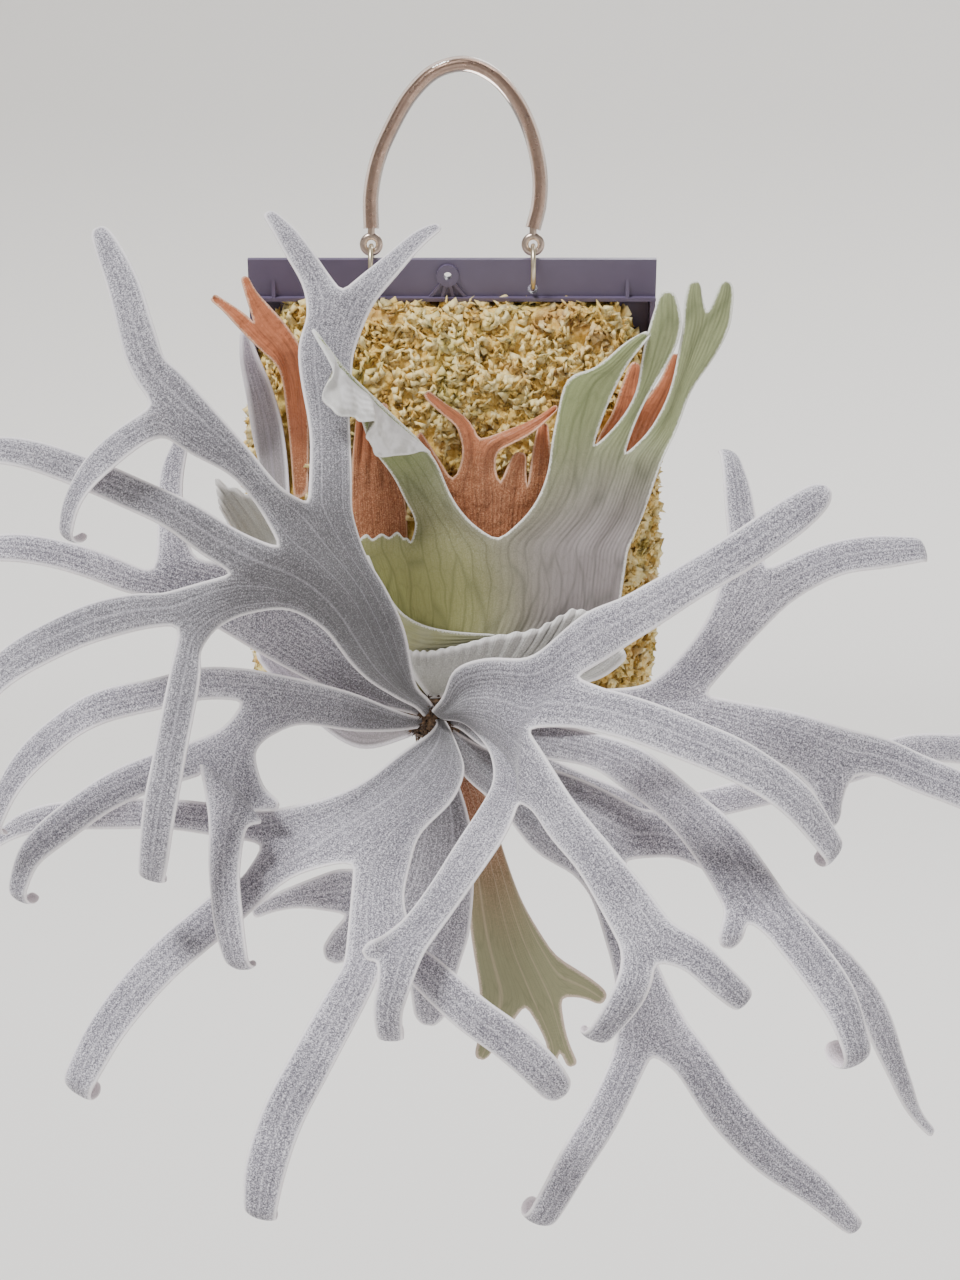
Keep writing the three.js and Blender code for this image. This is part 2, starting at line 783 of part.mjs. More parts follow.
const greenShield = {
  arch: 0.03,
  palm: [
    [-5, 8, 7, 9, -8],
    [-17, 24, 46, 24, -4],
    [-26, 45, 77, 38, 2],
    [-31, 62, 82, 58, 8],
    [-35, 71, 84, 72, 12],
  ],
  crotches: [[-11.5, 74.5, 10], [27, 76, 4]],
  kids: [
    {
      palm: [[-35, 75, -13, 77, 12]],
      crotches: [[-31, 78.5, 12.5], [-28.5, 75.5, 12], [-24.5, 79, 12.5], [-21, 76, 12],
        [-17.5, 79.5, 12.5], [-15, 76.5, 12]],
      columns: 7,
    },
    {
      palm: [
        [-9, 84, 15, 83, 10],
        [-14, 94, 6, 95, 14],
        [-19, 104, 0, 110, 19],
        [-25, 112, -8, 120, 27],
        [-30, 120, -17, 128.5, 37],
        [-33, 129, -26, 137, 49],
        [-36.5, 140, -33.5, 144, 60],
        [-43, 150.5, -41.5, 152.5, 71],
        [-54, 167, -53, 168, 75],
      ],
      columns: 2,
    },
    {
      palm: [[42, 89, 90, 85, 12], [49, 105, 95, 99, 16], [51, 120, 100, 113, 20]],
      crotches: [[68, 116, 16], [82, 113, 16]],
      kids: [
        {
          palm: [
            [54, 134, 74, 133, 22],
            [58, 148, 80, 146, 25],
            [70, 151, 85, 155, 27],
            [82, 162, 91, 162, 28],
            [92, 168, 94, 166, 27],
          ],
          columns: 2,
        },
        {
          palm: [
            [79, 126, 87, 127, 18],
            [88, 140, 95, 143, 20],
            [91, 158, 104, 158, 24],
            [94, 170, 108, 171, 27],
            [99, 186, 105, 185, 27],
          ],
          columns: 2,
        },
        {
          palm: [
            [94, 124, 106, 125, 18],
            [103, 141, 112, 142, 20],
            [107, 160, 122, 156, 23],
            [109, 171, 129, 169, 25],
          ],
          crotches: [[119, 175, 25]],
          kids: [
            { strip: [[113, 184, 27, 8], [114, 190, 27, 5]] },
            { strip: [[127, 183, 27, 8], [128, 190, 27, 5]] },
          ],
        },
      ],
    },
  ],
};

// The flap that folds back over the green shield's left lobe, from the fold at its right edge.
const shieldFlap = {
  arch: 0.04,
  palm: [
    [-5.3, 116, -2.5, 114.5, 24, 21.5],
    [-18.6, 113.2, -13, 124.5, 37, 32.5],
    [-27.5, 115, -20, 131, 46, 41],
    [-31, 120.5, -26, 136.5, 54, 49],
    [-30.5, 128.5, -31, 141.5, 61, 56],
    [-36, 130.5, -36, 146, 68, 63.5],
    [-44, 132.5, -41, 151, 75, 70],
    [-50.5, 137.5, -44.5, 155, 77, 72],
    [-49.5, 145, -47.5, 159.5, 78, 73],
    [-51.5, 157.5, -51, 165, 77, 74.5],
    [-55, 168.5, -53.6, 169.3, 76, 75],
  ],
  columns: 2,
};

const youngShield = {
  arch: 0.02,
  columns: 14,
  frill: { waves: 9, depth: 2.2 },
  palm: [
    [-3, 8, 5, 9, -3],
    [-9, 15, 37, 12, 2],
    [-13, 22, 70, 14, 4],
    [-13, 27, 84, 24, 6],
  ],
  crotches: [[-3, 27, 9], [10, 30, 11], [24, 34, 12], [44, 37, 12], [60, 46, 12], [74, 44, 10]],
};

const driedShieldMiddle = {
  palm: [
    [2, 72, 46, 72, -2],
    [-2, 88, 50, 90, 0],
    [-4, 98, 52, 100, 2],
  ],
  crotches: [[7, 101, 3], [28, 99, 3], [40, 97, 2]],
  kids: [
    { strip: [[-2, 108, 5, 8], [-6, 116, 9, 7], [-8, 122, 14, 5]] },
    {
      palm: [[11, 108, 25, 107, 6], [12, 116, 26, 115, 10]],
      crotches: [[18, 119, 12]],
      kids: [
        { strip: [[12, 127, 14, 8], [4, 133, 17, 6], [-5, 140, 20, 4]] },
        { strip: [[31, 121, 12, 7], [42, 126, 13, 6], [53, 134, 15, 3]] },
      ],
    },
    { strip: [[35, 107, 5, 8], [37, 114, 7, 5]] },
    { strip: [[46, 110, 4, 9], [47, 127, 6, 4]] },
  ],
};

const driedShieldLeft = {
  columns: 4,
  frill: { waves: 5, depth: 1.6 },
  palm: [
    [-36, 70, -13, 70, 0],
    [-38, 90, -14, 92, 2],
    [-37, 112, -18, 112, 5],
    [-35, 134, -22, 136, 10],
  ],
};

const driedShieldRight = {
  palm: [[66, 100, 88, 96, -20], [70, 118, 96, 116, -6], [78, 132, 102, 132, 10]],
  crotches: [[90, 136, 10]],
  kids: [
    { strip: [[86, 146, 12, 7], [88, 154, 13, 4]] },
    { strip: [[102, 144, 12, 8], [106, 158, 13, 4]] },
  ],
};

const driedLobesLeft = {
  palm: [
    [-62, 100, -56, 104, -24],
    [-66, 130, -57, 132, -4],
    [-70, 152, -60, 160, 18],
    [-78, 160, -68, 172, 20],
  ],
  crotches: [[-80, 170, 20]],
  kids: [
    { strip: [[-92, 178, 22, 4.5], [-99, 183, 22, 3]] },
    { strip: [[-82, 184, 22, 4.5], [-85, 192, 22, 3]] },
  ],
};

const greyOldLobe = {
  palm: [[-74, 96, -63, 96, -36], [-80, 116, -66, 120, -20], [-84, 140, -74, 146, 2]],
  crotches: [],
  kids: [{ strip: [[-83, 156, 4, 8], [-85, 168, 6, 4]] }],
};

const frilledSideShield = {
  columns: 6,
  frill: { waves: 7, depth: 1.8 },
  palm: [[-78, 60, -66, 66, -40], [-88, 76, -70, 84, -20], [-96, 90, -74, 92, -8]],
  crotches: [[-98, 104, -6]],
};

const lowerLeftShield = {
  columns: 4,
  palm: [
    [-10, -10, -12, 8, -12],
    [-34, -16, -34, 26, -14],
    [-58, 0, -56, 40, -20],
    [-80, 24, -74, 50, -30],
  ],
};

// Frames: the holder hangs from the pivot, and the bud's frame stands on the holder

const holder = new THREE.Group();
holder.position.set(PIVOT.x, 0, PIVOT.z);
holder.rotation.x = BOARD_TILT;
const bud = new THREE.Group();
bud.position.set(BUD.right, -BUD.out, -BUD.down);
bud.rotation.x = BUD_PITCH;
holder.add(bud);
bud.updateMatrix();
const toHolder = bud.matrix;
const fromHolder = toHolder.clone().invert();

// Moss: a wedge-like mound, low at the rail and high at the bud, with a lumpy face

function mossHalfWidth(down) {
  const corner = clamp01((down - MOSS_TOP) / 70);
  return MOSS_HALF_WIDTH * (1 - 0.2 * (1 - corner) ** 2);
}

function mossHeight(x, down) {
  const side = clamp01(1 - Math.abs(x / mossHalfWidth(down)) ** 3) ** 0.45;
  const rise = clamp01((down - MOSS_TOP + 16) / (MOSS_SHOULDER - MOSS_TOP)) ** 0.85;
  const fall = clamp01((MOSS_BOTTOM - down) / (MOSS_BOTTOM - MOSS_SHOULDER));
  const round = Math.sqrt(1 - (1 - fall) ** 2);
  return MOSS_HEIGHT * side * rise * round;
}

function mossLumps(x, down) {
  const a = Math.sin(x * 0.21 + Math.sin(down * 0.13) * 1.7);
  const b = Math.sin(down * 0.24 + Math.sin(x * 0.11) * 2.1);
  const c = Math.sin((x + down) * 0.37) * Math.cos((x - down) * 0.31);
  return 1.4 * a * b + 1.1 * c;
}

function mossMound() {
  const face = [];
  const floor = TRAY_BACK - WALL - MOSS_SEAT;
  for (let i = 0; i <= MOSS_ROWS; i++) {
    const v = i / MOSS_ROWS;
    const down = MOSS_TOP + (MOSS_BOTTOM - MOSS_TOP) * (1 - (1 - v) ** 1.35);
    for (let j = 0; j <= MOSS_COLUMNS; j++) {
      const u = Math.sin((j / MOSS_COLUMNS - 0.5) * Math.PI);
      const x = u * mossHalfWidth(down);
      const height = mossHeight(x, down);
      const lump = mossLumps(x, down) * clamp01(height / 12);
      face.push([x, floor - MOSS_FOOT - height - lump, -down]);
    }
  }
  const across = MOSS_COLUMNS + 1;
  const count = face.length;
  const positions = face.flat();
  const seatHalf = BOARD_WIDTH / 2 - WALL - MOSS_SEAT;
  const seatDrop = BOARD_DROP - WALL - MOSS_SEAT;
  for (const [x, , z] of face) {
    const narrow = Math.min(1, seatHalf / mossHalfWidth(-z));
    const short = (seatDrop - MOSS_TOP) / (MOSS_BOTTOM - MOSS_TOP);
    positions.push(x * narrow, floor, -(MOSS_TOP + (-z - MOSS_TOP) * short));
  }
  const index = [];
  const quad = (a, b, c, d) => index.push(a, b, c, a, c, d);
  for (let i = 0; i < MOSS_ROWS; i++) {
    for (let j = 0; j < MOSS_COLUMNS; j++) {
      const a = i * across + j;
      quad(a + across, a + across + 1, a + 1, a);
      quad(a + count, a + count + 1, a + count + across + 1, a + count + across);
    }
    const left = i * across;
    const right = left + MOSS_COLUMNS;
    quad(left, left + count, left + count + across, left + across);
    quad(right + across, right + across + count, right + count, right);
  }
  for (let j = 0; j < MOSS_COLUMNS; j++) {
    const bottom = MOSS_ROWS * across + j;
    quad(j + 1, j + 1 + count, j + count, j);
    quad(bottom, bottom + count, bottom + count + 1, bottom + 1);
  }
  const geometry = new THREE.BufferGeometry();
  geometry.setAttribute("position", new THREE.Float32BufferAttribute(positions, 3));
  geometry.setIndex(index);
  return geometry;
}

// Lifts each point of a sheet clear of the moss by a gap, measured out from the board.
function drape(sheet, gap) {
  for (const point of sheet.points) {
    point.applyMatrix4(toHolder);
    const face = TRAY_BACK - WALL - MOSS_SEAT - MOSS_FOOT - mossHeight(point.x, -point.z) - LUMP_REACH;
    point.y = Math.min(point.y, face - gap);
    point.applyMatrix4(fromHolder);
  }
  return sheet;
}

function budGeometry(extra) {
  const shape = new THREE.SphereGeometry(1, 16, 10);
  const [rx, ry, rz] = BUD_RADII.map((radius) => radius + extra);
  return shape.scale(rx, ry, rz).translate(0, BUD_DEPTH, 0);
}

const budCutter = toSolid(budGeometry(SEAT_GAP + MESH_GAP));

function leafSolid(sheet, thickness) {
  return toSolid(sheet.thicken(thickness)).subtract(budCutter);
}

// Board: the tray's walls, the rail with its lip, boss, ribs and gussets, and two corner posts. With
// spare, each wall is that much thicker all round, to cut its room out of the moss.

function wall(xs, ys, zs, spare) {
  const [width, depth, height] = [xs, ys, zs].map(([low, high]) => high - low + 2 * spare);
  const [x, y, z] = [xs, ys, zs].map(([low, high]) => (low + high) / 2);
  return toSolid(new THREE.BoxGeometry(width, depth, height).translate(x, y, z));
}

function boardWalls(spare) {
  const half = BOARD_WIDTH / 2;
  const front = -RAIL_THICK / 2;
  const shelf = RAIL_BOTTOM + WALL;
  const postTop = RAIL_BOTTOM - 0.5;
  let solid = wall([-half, half], [TRAY_BACK - WALL, TRAY_BACK], [-BOARD_DROP, shelf], spare);
  const add = (xs, ys, zs) => {
    solid = solid.add(wall(xs, ys, zs, spare));
  };
  add([-half, half], [front, TRAY_BACK], [RAIL_BOTTOM, shelf]);
  add([-half, half], [front, -front], [RAIL_BOTTOM, RAIL_TOP]);
  add([-half, half], [front - LIP.depth, 0], [RAIL_BOTTOM, RAIL_BOTTOM + LIP.height]);
  add([-half, half], [front, TRAY_BACK], [-BOARD_DROP, -BOARD_DROP + WALL]);
  for (const side of [-1, 1]) {
    const outer = side * half;
    const inner = side * (half - WALL);
    add([Math.min(outer, inner), Math.max(outer, inner)], [front, TRAY_BACK], [-BOARD_DROP, shelf]);
    const x = side * POST.x;
    const back = TRAY_BACK - WALL;
    const face = back - POST.depth;
    const postZ = [postTop - POST.drop, postTop];
    add([x - POST.web / 2, x + POST.web / 2], [face, back], postZ);
    add([x - POST.width / 2, x + POST.width / 2], [face, face + POST.flange], postZ);
  }
  return solid;
}

// A round bar along Y.
function bar(radius, from, to, x, z, sides) {
  const shape = new THREE.CylinderGeometry(radius, radius, to - from, sides);
  return toSolid(shape.translate(x, (from + to) / 2, z));
}

function hangingBoard() {
  const front = -RAIL_THICK / 2;
  let solid = boardWalls(0).add(bar(BOSS.radius, front - BOSS.proud, 0, BOSS.x, BOSS.z, 20));
  for (const degrees of RIBS.angles) {
    const angle = THREE.MathUtils.degToRad(degrees);
    const reach = (BOSS.z - RAIL_BOTTOM) / Math.cos(angle) - 0.5;
    const rib = new THREE.BoxGeometry(RIBS.width, RIBS.depth, reach).translate(0, front - 0.2, -reach / 2);
    rib.rotateY(angle).translate(BOSS.x, 0, BOSS.z);
    solid = solid.add(toSolid(rib));
  }
  for (const side of [-1, 1]) {
    const shape = new THREE.Shape();
    shape.moveTo(0, RAIL_BOTTOM + 1);
    shape.lineTo(LIP.depth, RAIL_BOTTOM + 1);
    shape.lineTo(0, RAIL_BOTTOM + 1 + GUSSET.height);
    const gusset = new THREE.ExtrudeGeometry(shape, { depth: GUSSET.thick, bevelEnabled: false });
    gusset.applyMatrix4(new THREE.Matrix4().makeBasis(
      new THREE.Vector3(0, -1, 0), new THREE.Vector3(0, 0, 1), new THREE.Vector3(-1, 0, 0)));
    solid = solid.add(toSolid(gusset.translate(side * GUSSET.x, front + 0.3, 0)));
    solid = solid.subtract(bar(RING_HOLE_RADIUS, front - 2, -front + 2, side * FOOT_X, -RING_RADIUS, 14));
  }
  return solid.subtract(bar(BOSS.hole, front - BOSS.proud - 1, -front + 1, BOSS.x, BOSS.z, 14));
}

holder.add(node("hanging_board", toGeometry(hangingBoard()), BOARD_PLASTIC));

// Bail: the arc's points are [right, up] from the middle of the two ring centres

const BAIL_ARC = [[-36, 17], [-36, 32], [-33, 47], [-27, 61], [-18, 76], [-7, 86], [5.8, 89], [17, 85],
  [27, 75], [35, 59], [39, 40], [38.5, 27], [36, 17]];

function bailArc(radius, bore) {
  const path = new THREE.CatmullRomCurve3(BAIL_ARC.map(([x, z]) => new THREE.Vector3(x, 0, z)));
  const shape = new THREE.Shape().absarc(0, 0, radius, 0, Math.PI * 2);
  if (bore) shape.holes.push(new THREE.Path().absarc(0, 0, bore, 0, Math.PI * 2, true));
  const options = { steps: BAIL_STEPS, extrudePath: path, curveSegments: 4, bevelEnabled: false };
  return toSolid(new THREE.ExtrudeGeometry(shape, options));
}

function bailWire() {
  let solid = bailArc(WIRE_RADIUS, 0);
  const eyeHeight = RING_RADIUS - RING_WIRE_RADIUS - SEAT_GAP + EYE_RADIUS - WIRE_RADIUS;
  for (const side of [-1, 1]) {
    const foot = new THREE.CylinderGeometry(WIRE_RADIUS, WIRE_RADIUS, FOOT_TOP - eyeHeight - EYE_RADIUS, 8);
    foot.rotateX(Math.PI / 2).translate(side * FOOT_X, 0, (FOOT_TOP + eyeHeight + EYE_RADIUS) / 2);
    const eye = new THREE.TorusGeometry(EYE_RADIUS, WIRE_RADIUS, 8, 14);
    eye.rotateX(Math.PI / 2).translate(side * FOOT_X, 0, eyeHeight);
    solid = solid.add(toSolid(foot)).add(toSolid(eye));
  }
  return solid;
}

const bail = new THREE.Group();
bail.position.set(PIVOT.x, 0, PIVOT.z);
bail.add(node("bail_wire", toGeometry(bailWire()), STEEL));
bail.add(node("bail_sleeve", toGeometry(bailArc(SLEEVE_RADIUS, SLEEVE_BORE_RADIUS)), TUBE_PLASTIC));
for (const [name, side] of [["rail_ring_left", -1], ["rail_ring_right", 1]]) {
  const ring = new THREE.TorusGeometry(RING_RADIUS, RING_WIRE_RADIUS, 6, 24);
  ring.deleteAttribute("uv");
  ring.rotateY(Math.PI / 2).translate(side * FOOT_X, 0, 0);
  bail.add(node(name, ring, STEEL));
}

const mossCutter = toSolid(budGeometry(SEAT_GAP).applyMatrix4(toHolder));
const moss = toSolid(mossMound()).subtract(mossCutter).subtract(boardWalls(MESH_GAP));
holder.add(node("moss_mound", toGeometry(moss), MOSS));
bud.add(node("crown_bud", budGeometry(0), BARK));

const FRONDS = {
  frond_a: frondA,
  frond_b: frondB,
  frond_c: frondC,
  frond_d: frondD,
  frond_e: frondE,
  frond_f: frondF,
  frond_g: frondG,
  frond_h: frondH,
  frond_i: frondI,
  frond_j: frondJ,
};
for (const [name, part] of Object.entries(FRONDS)) {
  bud.add(node(name, toGeometry(leafSolid(grow(part), FROND_THICK)), FELT));
}
bud.add(node("frond_k", toGeometry(leafSolid(grow(frondK), FROND_THICK)), OLD_FELT));

const SHIELDS = [
  ["green_shield", greenShield, 3.2, GREEN_SHIELD, shieldFlap],
  ["young_shield", youngShield, 5.6, YOUNG_SHIELD],
  ["dried_shield_middle", driedShieldMiddle, 0.2, DRY_SHIELD],
  ["dried_shield_left", driedShieldLeft, -0.5, DRY_SHIELD],
  ["dried_shield_right", driedShieldRight, 0.2, DRY_SHIELD],
  ["dried_lobes_left", driedLobesLeft, 0.2, DRY_SHIELD],
  ["grey_old_lobe", greyOldLobe, 0.5, GREY_SHIELD],
  ["frilled_side_shield", frilledSideShield, 0.2, GREY_SHIELD],
  ["lower_left_shield", lowerLeftShield, 0.8, GREY_SHIELD],
];
for (const [name, part, gap, material, flap] of SHIELDS) {
  let solid = leafSolid(drape(grow(part), gap), SHIELD_THICK);
  if (flap) solid = solid.add(leafSolid(grow(flap), SHIELD_THICK));
  bud.add(node(name, toGeometry(solid), material));
}

const staghornFern = new THREE.Group();
staghornFern.add(bail, holder);

export default staghornFern;
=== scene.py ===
"""A staghorn fern on a hanging board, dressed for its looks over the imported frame.

The fern's leaves are laid out as in the part: broad palms that split at crotches into strips, written in
millimetres as [right, up, forward] from the bud, seen from an eye in front of the plant. Here each sheet
is grown finer, with a smooth outline, a rounded rim and the marks that its finish reads.
"""

from __future__ import annotations
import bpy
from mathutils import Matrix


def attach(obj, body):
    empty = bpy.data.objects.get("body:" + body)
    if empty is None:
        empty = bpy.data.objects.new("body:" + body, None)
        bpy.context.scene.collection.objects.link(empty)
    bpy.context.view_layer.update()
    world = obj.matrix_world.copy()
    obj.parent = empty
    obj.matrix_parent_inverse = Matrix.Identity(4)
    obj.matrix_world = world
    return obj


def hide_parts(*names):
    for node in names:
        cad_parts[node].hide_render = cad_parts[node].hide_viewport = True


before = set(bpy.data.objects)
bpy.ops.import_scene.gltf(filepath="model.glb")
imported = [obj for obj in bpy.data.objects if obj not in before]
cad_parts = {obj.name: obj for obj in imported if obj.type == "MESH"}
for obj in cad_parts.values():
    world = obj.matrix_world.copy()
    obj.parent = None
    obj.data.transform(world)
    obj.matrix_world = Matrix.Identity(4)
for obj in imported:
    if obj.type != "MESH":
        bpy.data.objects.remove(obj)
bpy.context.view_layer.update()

import logging
import math
from dataclasses import dataclass, field
from enum import Enum

import bmesh
import bpy
import numpy as np
from bpy.types import Material, Mesh, NodeSocket, NodeTree, Object
from mathutils import Matrix, Vector
from mathutils.bvhtree import BVHTree
from mathutils.kdtree import KDTree

LOG = logging.getLogger("staghorn_fern")
MM = 0.001

HOLDER = "holder"
BAIL = "bail"

BOARD_WIDTH = 182.0
BOARD_DROP = 180.0
WALL = 2.4
TRAY_BACK = 12.0
BOARD_TILT = math.radians(20)
PIVOT = Vector((-5.8, 0.0, -85.5))
BUD_PLACE = Vector((-6.6, -95.2, -174.0))
BUD_PITCH = math.radians(-26)
BUD_RADII = Vector((14.0, 15.0, 14.0))
BUD_DEPTH = 13.0
# The eye that the leaves are laid out from, seen from the bud
EYE_RIGHT = 19.0
EYE_UP = 32.0
EYE_DISTANCE = 1100.0

TO_METRES = Matrix.Scale(MM, 4)
BOARD_TURN = Matrix.Translation(PIVOT) @ Matrix.Rotation(BOARD_TILT, 4, "X")
BUD_TURN = Matrix.Translation(BUD_PLACE) @ Matrix.Rotation(BUD_PITCH, 4, "X")
BOARD_FRAME = TO_METRES @ BOARD_TURN
BUD_FRAME = BOARD_FRAME @ BUD_TURN
# The way that a leaf faces in the bud's frame: toward the viewer and a little up
FACING = Vector((0, -1, 0.25))
TINY = 1e-9

NOISE = "ShaderNodeTexNoise"
RANGE = "ShaderNodeMapRange"
MATH = "ShaderNodeMath"
MIX = "ShaderNodeMix"
RAMP = "ShaderNodeValToRGB"
BUMP = "ShaderNodeBump"
PRINCIPLED = "ShaderNodeBsdfPrincipled"
RANDOM = "FunctionNodeRandomValue"
COLOUR_MIX = {"out": 2, "data_type": "RGBA"}
EASED = {"interpolation_type": "SMOOTHSTEP"}


def linear(code: str) -> tuple[float, float, float, float]:
    """Turns an sRGB hex colour to linear light.

    Args:
        code: The colour as "#rrggbb".

    Returns:
        Red, green, blue and an alpha of 1.
    """
    channels = [int(code[i:i + 2], 16) / 255 for i in (1, 3, 5)]
    red, green, blue = [c / 12.92 if c <= 0.04045 else ((c + 0.055) / 1.055) ** 2.4 for c in channels]
    return red, green, blue, 1.0


def put(tree: NodeTree, kind: str, inputs: dict | tuple = (), out: int | str = 0,
        stops: tuple[tuple[float, str], ...] = (), **settings: object) -> NodeSocket | None:
    """Adds one node to a tree.

    Args:
        tree: The node tree.
        kind: The node's type.
        inputs: Values by socket name or number, or in the sockets' order; an output is linked.
        out: The name or number of the output to give back.
        stops: A ramp's places and sRGB colours, in order.
        **settings: The node's own properties.

    Returns:
        The output, or None for a node that has none.
    """
    node = tree.nodes.new(kind)
    for name, value in settings.items():
        setattr(node, name, value)
    for key, value in inputs.items() if isinstance(inputs, dict) else enumerate(inputs):
        if isinstance(value, NodeSocket):
            tree.links.new(value, node.inputs[key])
        else:
            node.inputs[key].default_value = value
    if stops:
        for end, (position, colour) in zip(node.color_ramp.elements, (stops[0], stops[-1])):
            end.position, end.color = position, linear(colour)
    for position, colour in stops[1:-1]:
        node.color_ramp.elements.new(position).color = linear(colour)
    return node.outputs[out] if node.outputs else None


class Finish:
    """A surface finish, which builds the material that carries its name."""

    name: str

    def shade(self, tree: NodeTree, place_on: NodeSocket) -> NodeSocket:
        """Adds the finish's own nodes, which read the place on the object, and gives the shader."""
        raise NotImplementedError

    def material(self) -> Material:
        """Builds the finish's material.

        Returns:
            The material.
        """
        material = bpy.data.materials.new(self.name)
        material.use_nodes = True
        tree = material.node_tree
        tree.nodes.clear()
        shader = self.shade(tree, put(tree, "ShaderNodeTexCoord", out="Object"))
        put(tree, "ShaderNodeOutputMaterial", {"Surface": shader})
        return material


def add_object(name: str, data: bpy.types.ID) -> Object:
    """Puts a mesh, curve, light or camera in the scene, at the origin.

    Args:
        name: The object's name.
        data: What it shows. A mesh or curve is in metres, in the part's frame.

    Returns:
        The object.
    """
    piece = bpy.data.objects.new(name, data)
    bpy.context.scene.collection.objects.link(piece)
    return piece


def mesh_of(name: str, points: list, faces: list, outward: bool = False) -> Mesh:
    """Makes a smooth-shaded mesh.

    Args:
        name: The mesh's name.
        points: Its vertices, in metres.
        faces: Its faces, as vertex numbers.
        outward: Whether the faces are turned to point outward.

    Returns:
        The mesh.
    """
    mesh = bpy.data.meshes.new(name)
    mesh.from_pydata(points, [], faces)
    if outward:
        work = bmesh.new()
        work.from_mesh(mesh)
        bmesh.ops.recalc_face_normals(work, faces=work.faces)
        finish_work(work, mesh)
    mesh.shade_smooth()
    return mesh


def finish_work(work: bmesh.types.BMesh, mesh: Mesh) -> Mesh:
    """Writes an edit mesh to a mesh, and frees it.

    Args:
        work: The edit mesh.
        mesh: The mesh that it goes to.

    Returns:
        The mesh.
    """
    work.to_mesh(mesh)
    work.free()
    return mesh


def mark(mesh: Mesh, name: str, values: list | np.ndarray) -> None:
    """Stores a value for each vertex under a name."""
    mesh.attributes.new(name, "FLOAT", "POINT").data.foreach_set("value", values)


def read(items: bpy.types.bpy_prop_collection, name: str, width: int = 1) -> np.ndarray:
    """Reads a property of each of a mesh's items.

    Args:
        items: The vertices, normals or values.
        name: The property.
        width: How many numbers it has.

    Returns:
        The numbers, in rows where there is more than one each.
    """
    found = np.empty(len(items) * width)
    items.foreach_get(name, found)
    return found.reshape(-1, width) if width > 1 else found


def baked(source: Object, name: str) -> Object:
    """Turns an object with modifiers into a plain mesh object and removes the source.

    Args:
        source: The object whose modifiers are applied.
        name: The new object's name.

    Returns:
        The plain object.
    """
    graph = bpy.context.evaluated_depsgraph_get()
    mesh = bpy.data.meshes.new_from_object(source.evaluated_get(graph), depsgraph=graph)
    mesh.name = name
    bpy.data.objects.remove(source, do_unlink=True)
    return add_object(name, mesh)


def joined(pieces: list[Object], name: str) -> Object:
    """Joins plain mesh objects into one.

    Args:
        pieces: The objects, which are removed.
        name: The result's name.

    Returns:
        The joined object, with the first piece's materials.
    """
    work = bmesh.new()
    for piece in pieces:
        work.from_mesh(piece.data)
    mesh = finish_work(work, bpy.data.meshes.new(name))
    for material in pieces[0].data.materials:
        mesh.materials.append(material)
    for piece in pieces:
        bpy.data.objects.remove(piece, do_unlink=True)
    return add_object(name, mesh)


def smoothstep(t: float) -> float:
    """Eases a number from 0 to 1."""
    return t * t * (3 - 2 * t)


def clamp01(t: float) -> float:
    """Keeps a number between 0 and 1."""
    return min(1.0, max(0.0, t))


def reaches(points: list[Vector]) -> list[float]:
    """Gives how far along a run of points each of them lies.

    Args:
        points: The points, in order.

    Returns:
        A length for each point, from 0.
    """
    reached = [0.0]
    for before, after in zip(points, points[1:]):
        reached.append(reached[-1] + (after - before).length)
    return reached


class SmoothCurve:
    """A centripetal Catmull-Rom curve through points, which can be measured along its length."""

    DIVISIONS = 120
    LEAST_ROOT = 1e-4

    def __init__(self, points: list[Vector]) -> None:
        """Keeps the points and measures the curve.

        Args:
            points: The points that it goes through.
        """
        self.points = points
        self.reached = reaches([self.at(i / self.DIVISIONS) for i in range(self.DIVISIONS + 1)])
        self.length = self.reached[-1]

    def _span(self, t: float) -> tuple[list[Vector], float]:
        """Finds the cubic that runs through a parameter.

        Args:
            t: The curve's parameter, from 0 to 1.

        Returns:
            The cubic's four coefficients, and how far along its span t lies.
        """
        last = len(self.points) - 1
        whole = min(int(t * last), last - 1)
        p1, p2 = self.points[whole], self.points[whole + 1]
        p0 = self.points[whole - 1] if whole > 0 else p1 * 2 - p2
        p3 = self.points[whole + 2] if whole + 2 <= last else p2 * 2 - p1
        d1 = max((p2 - p1).length ** 0.5, self.LEAST_ROOT)
        d0 = (p1 - p0).length ** 0.5
        d2 = (p3 - p2).length ** 0.5
        d0 = d0 if d0 > self.LEAST_ROOT else d1
        d2 = d2 if d2 > self.LEAST_ROOT else d1
        t1 = ((p1 - p0) / d0 - (p2 - p0) / (d0 + d1) + (p2 - p1) / d1) * d1
        t2 = ((p2 - p1) / d1 - (p3 - p1) / (d1 + d2) + (p3 - p2) / d2) * d1
        return [p1, t1, (p2 - p1) * 3 - t1 * 2 - t2, (p1 - p2) * 2 + t1 + t2], t * last - whole

    def at(self, t: float) -> Vector:
        """Gives the point at parameter t."""
        (a, b, c, d), w = self._span(t)
        return a + b * w + c * w * w + d * w ** 3

    def tangent(self, t: float) -> Vector:
        """Gives the direction at parameter t."""
        (_, b, c, d), w = self._span(t)
        return (b + c * (2 * w) + d * (3 * w * w)).normalized()

    def parameter(self, share: float) -> float:
        """Gives the parameter at a share of the length.

        Args:
            share: From 0 at the start to 1 at the end.

        Returns:
            The curve's parameter there.
        """
        target = share * self.length
        k = min(int(np.searchsorted(self.reached, target)), self.DIVISIONS)
        if k == 0:
            return 0.0
        step = max(self.reached[k] - self.reached[k - 1], TINY)
        return clamp01((k - 1 + (target - self.reached[k - 1]) / step) / self.DIVISIONS)


# Leaves: what a sheet is laid out with


def place(right: float, up: float, forward: float) -> Vector:
    """Turns a layout point into a point of the bud's frame, drawn in toward the line of sight."""
    nearness = (EYE_DISTANCE - forward) / EYE_DISTANCE
    return Vector((EYE_RIGHT + (right - EYE_RIGHT) * nearness, -forward, EYE_UP + (up - EYE_UP) * nearness))


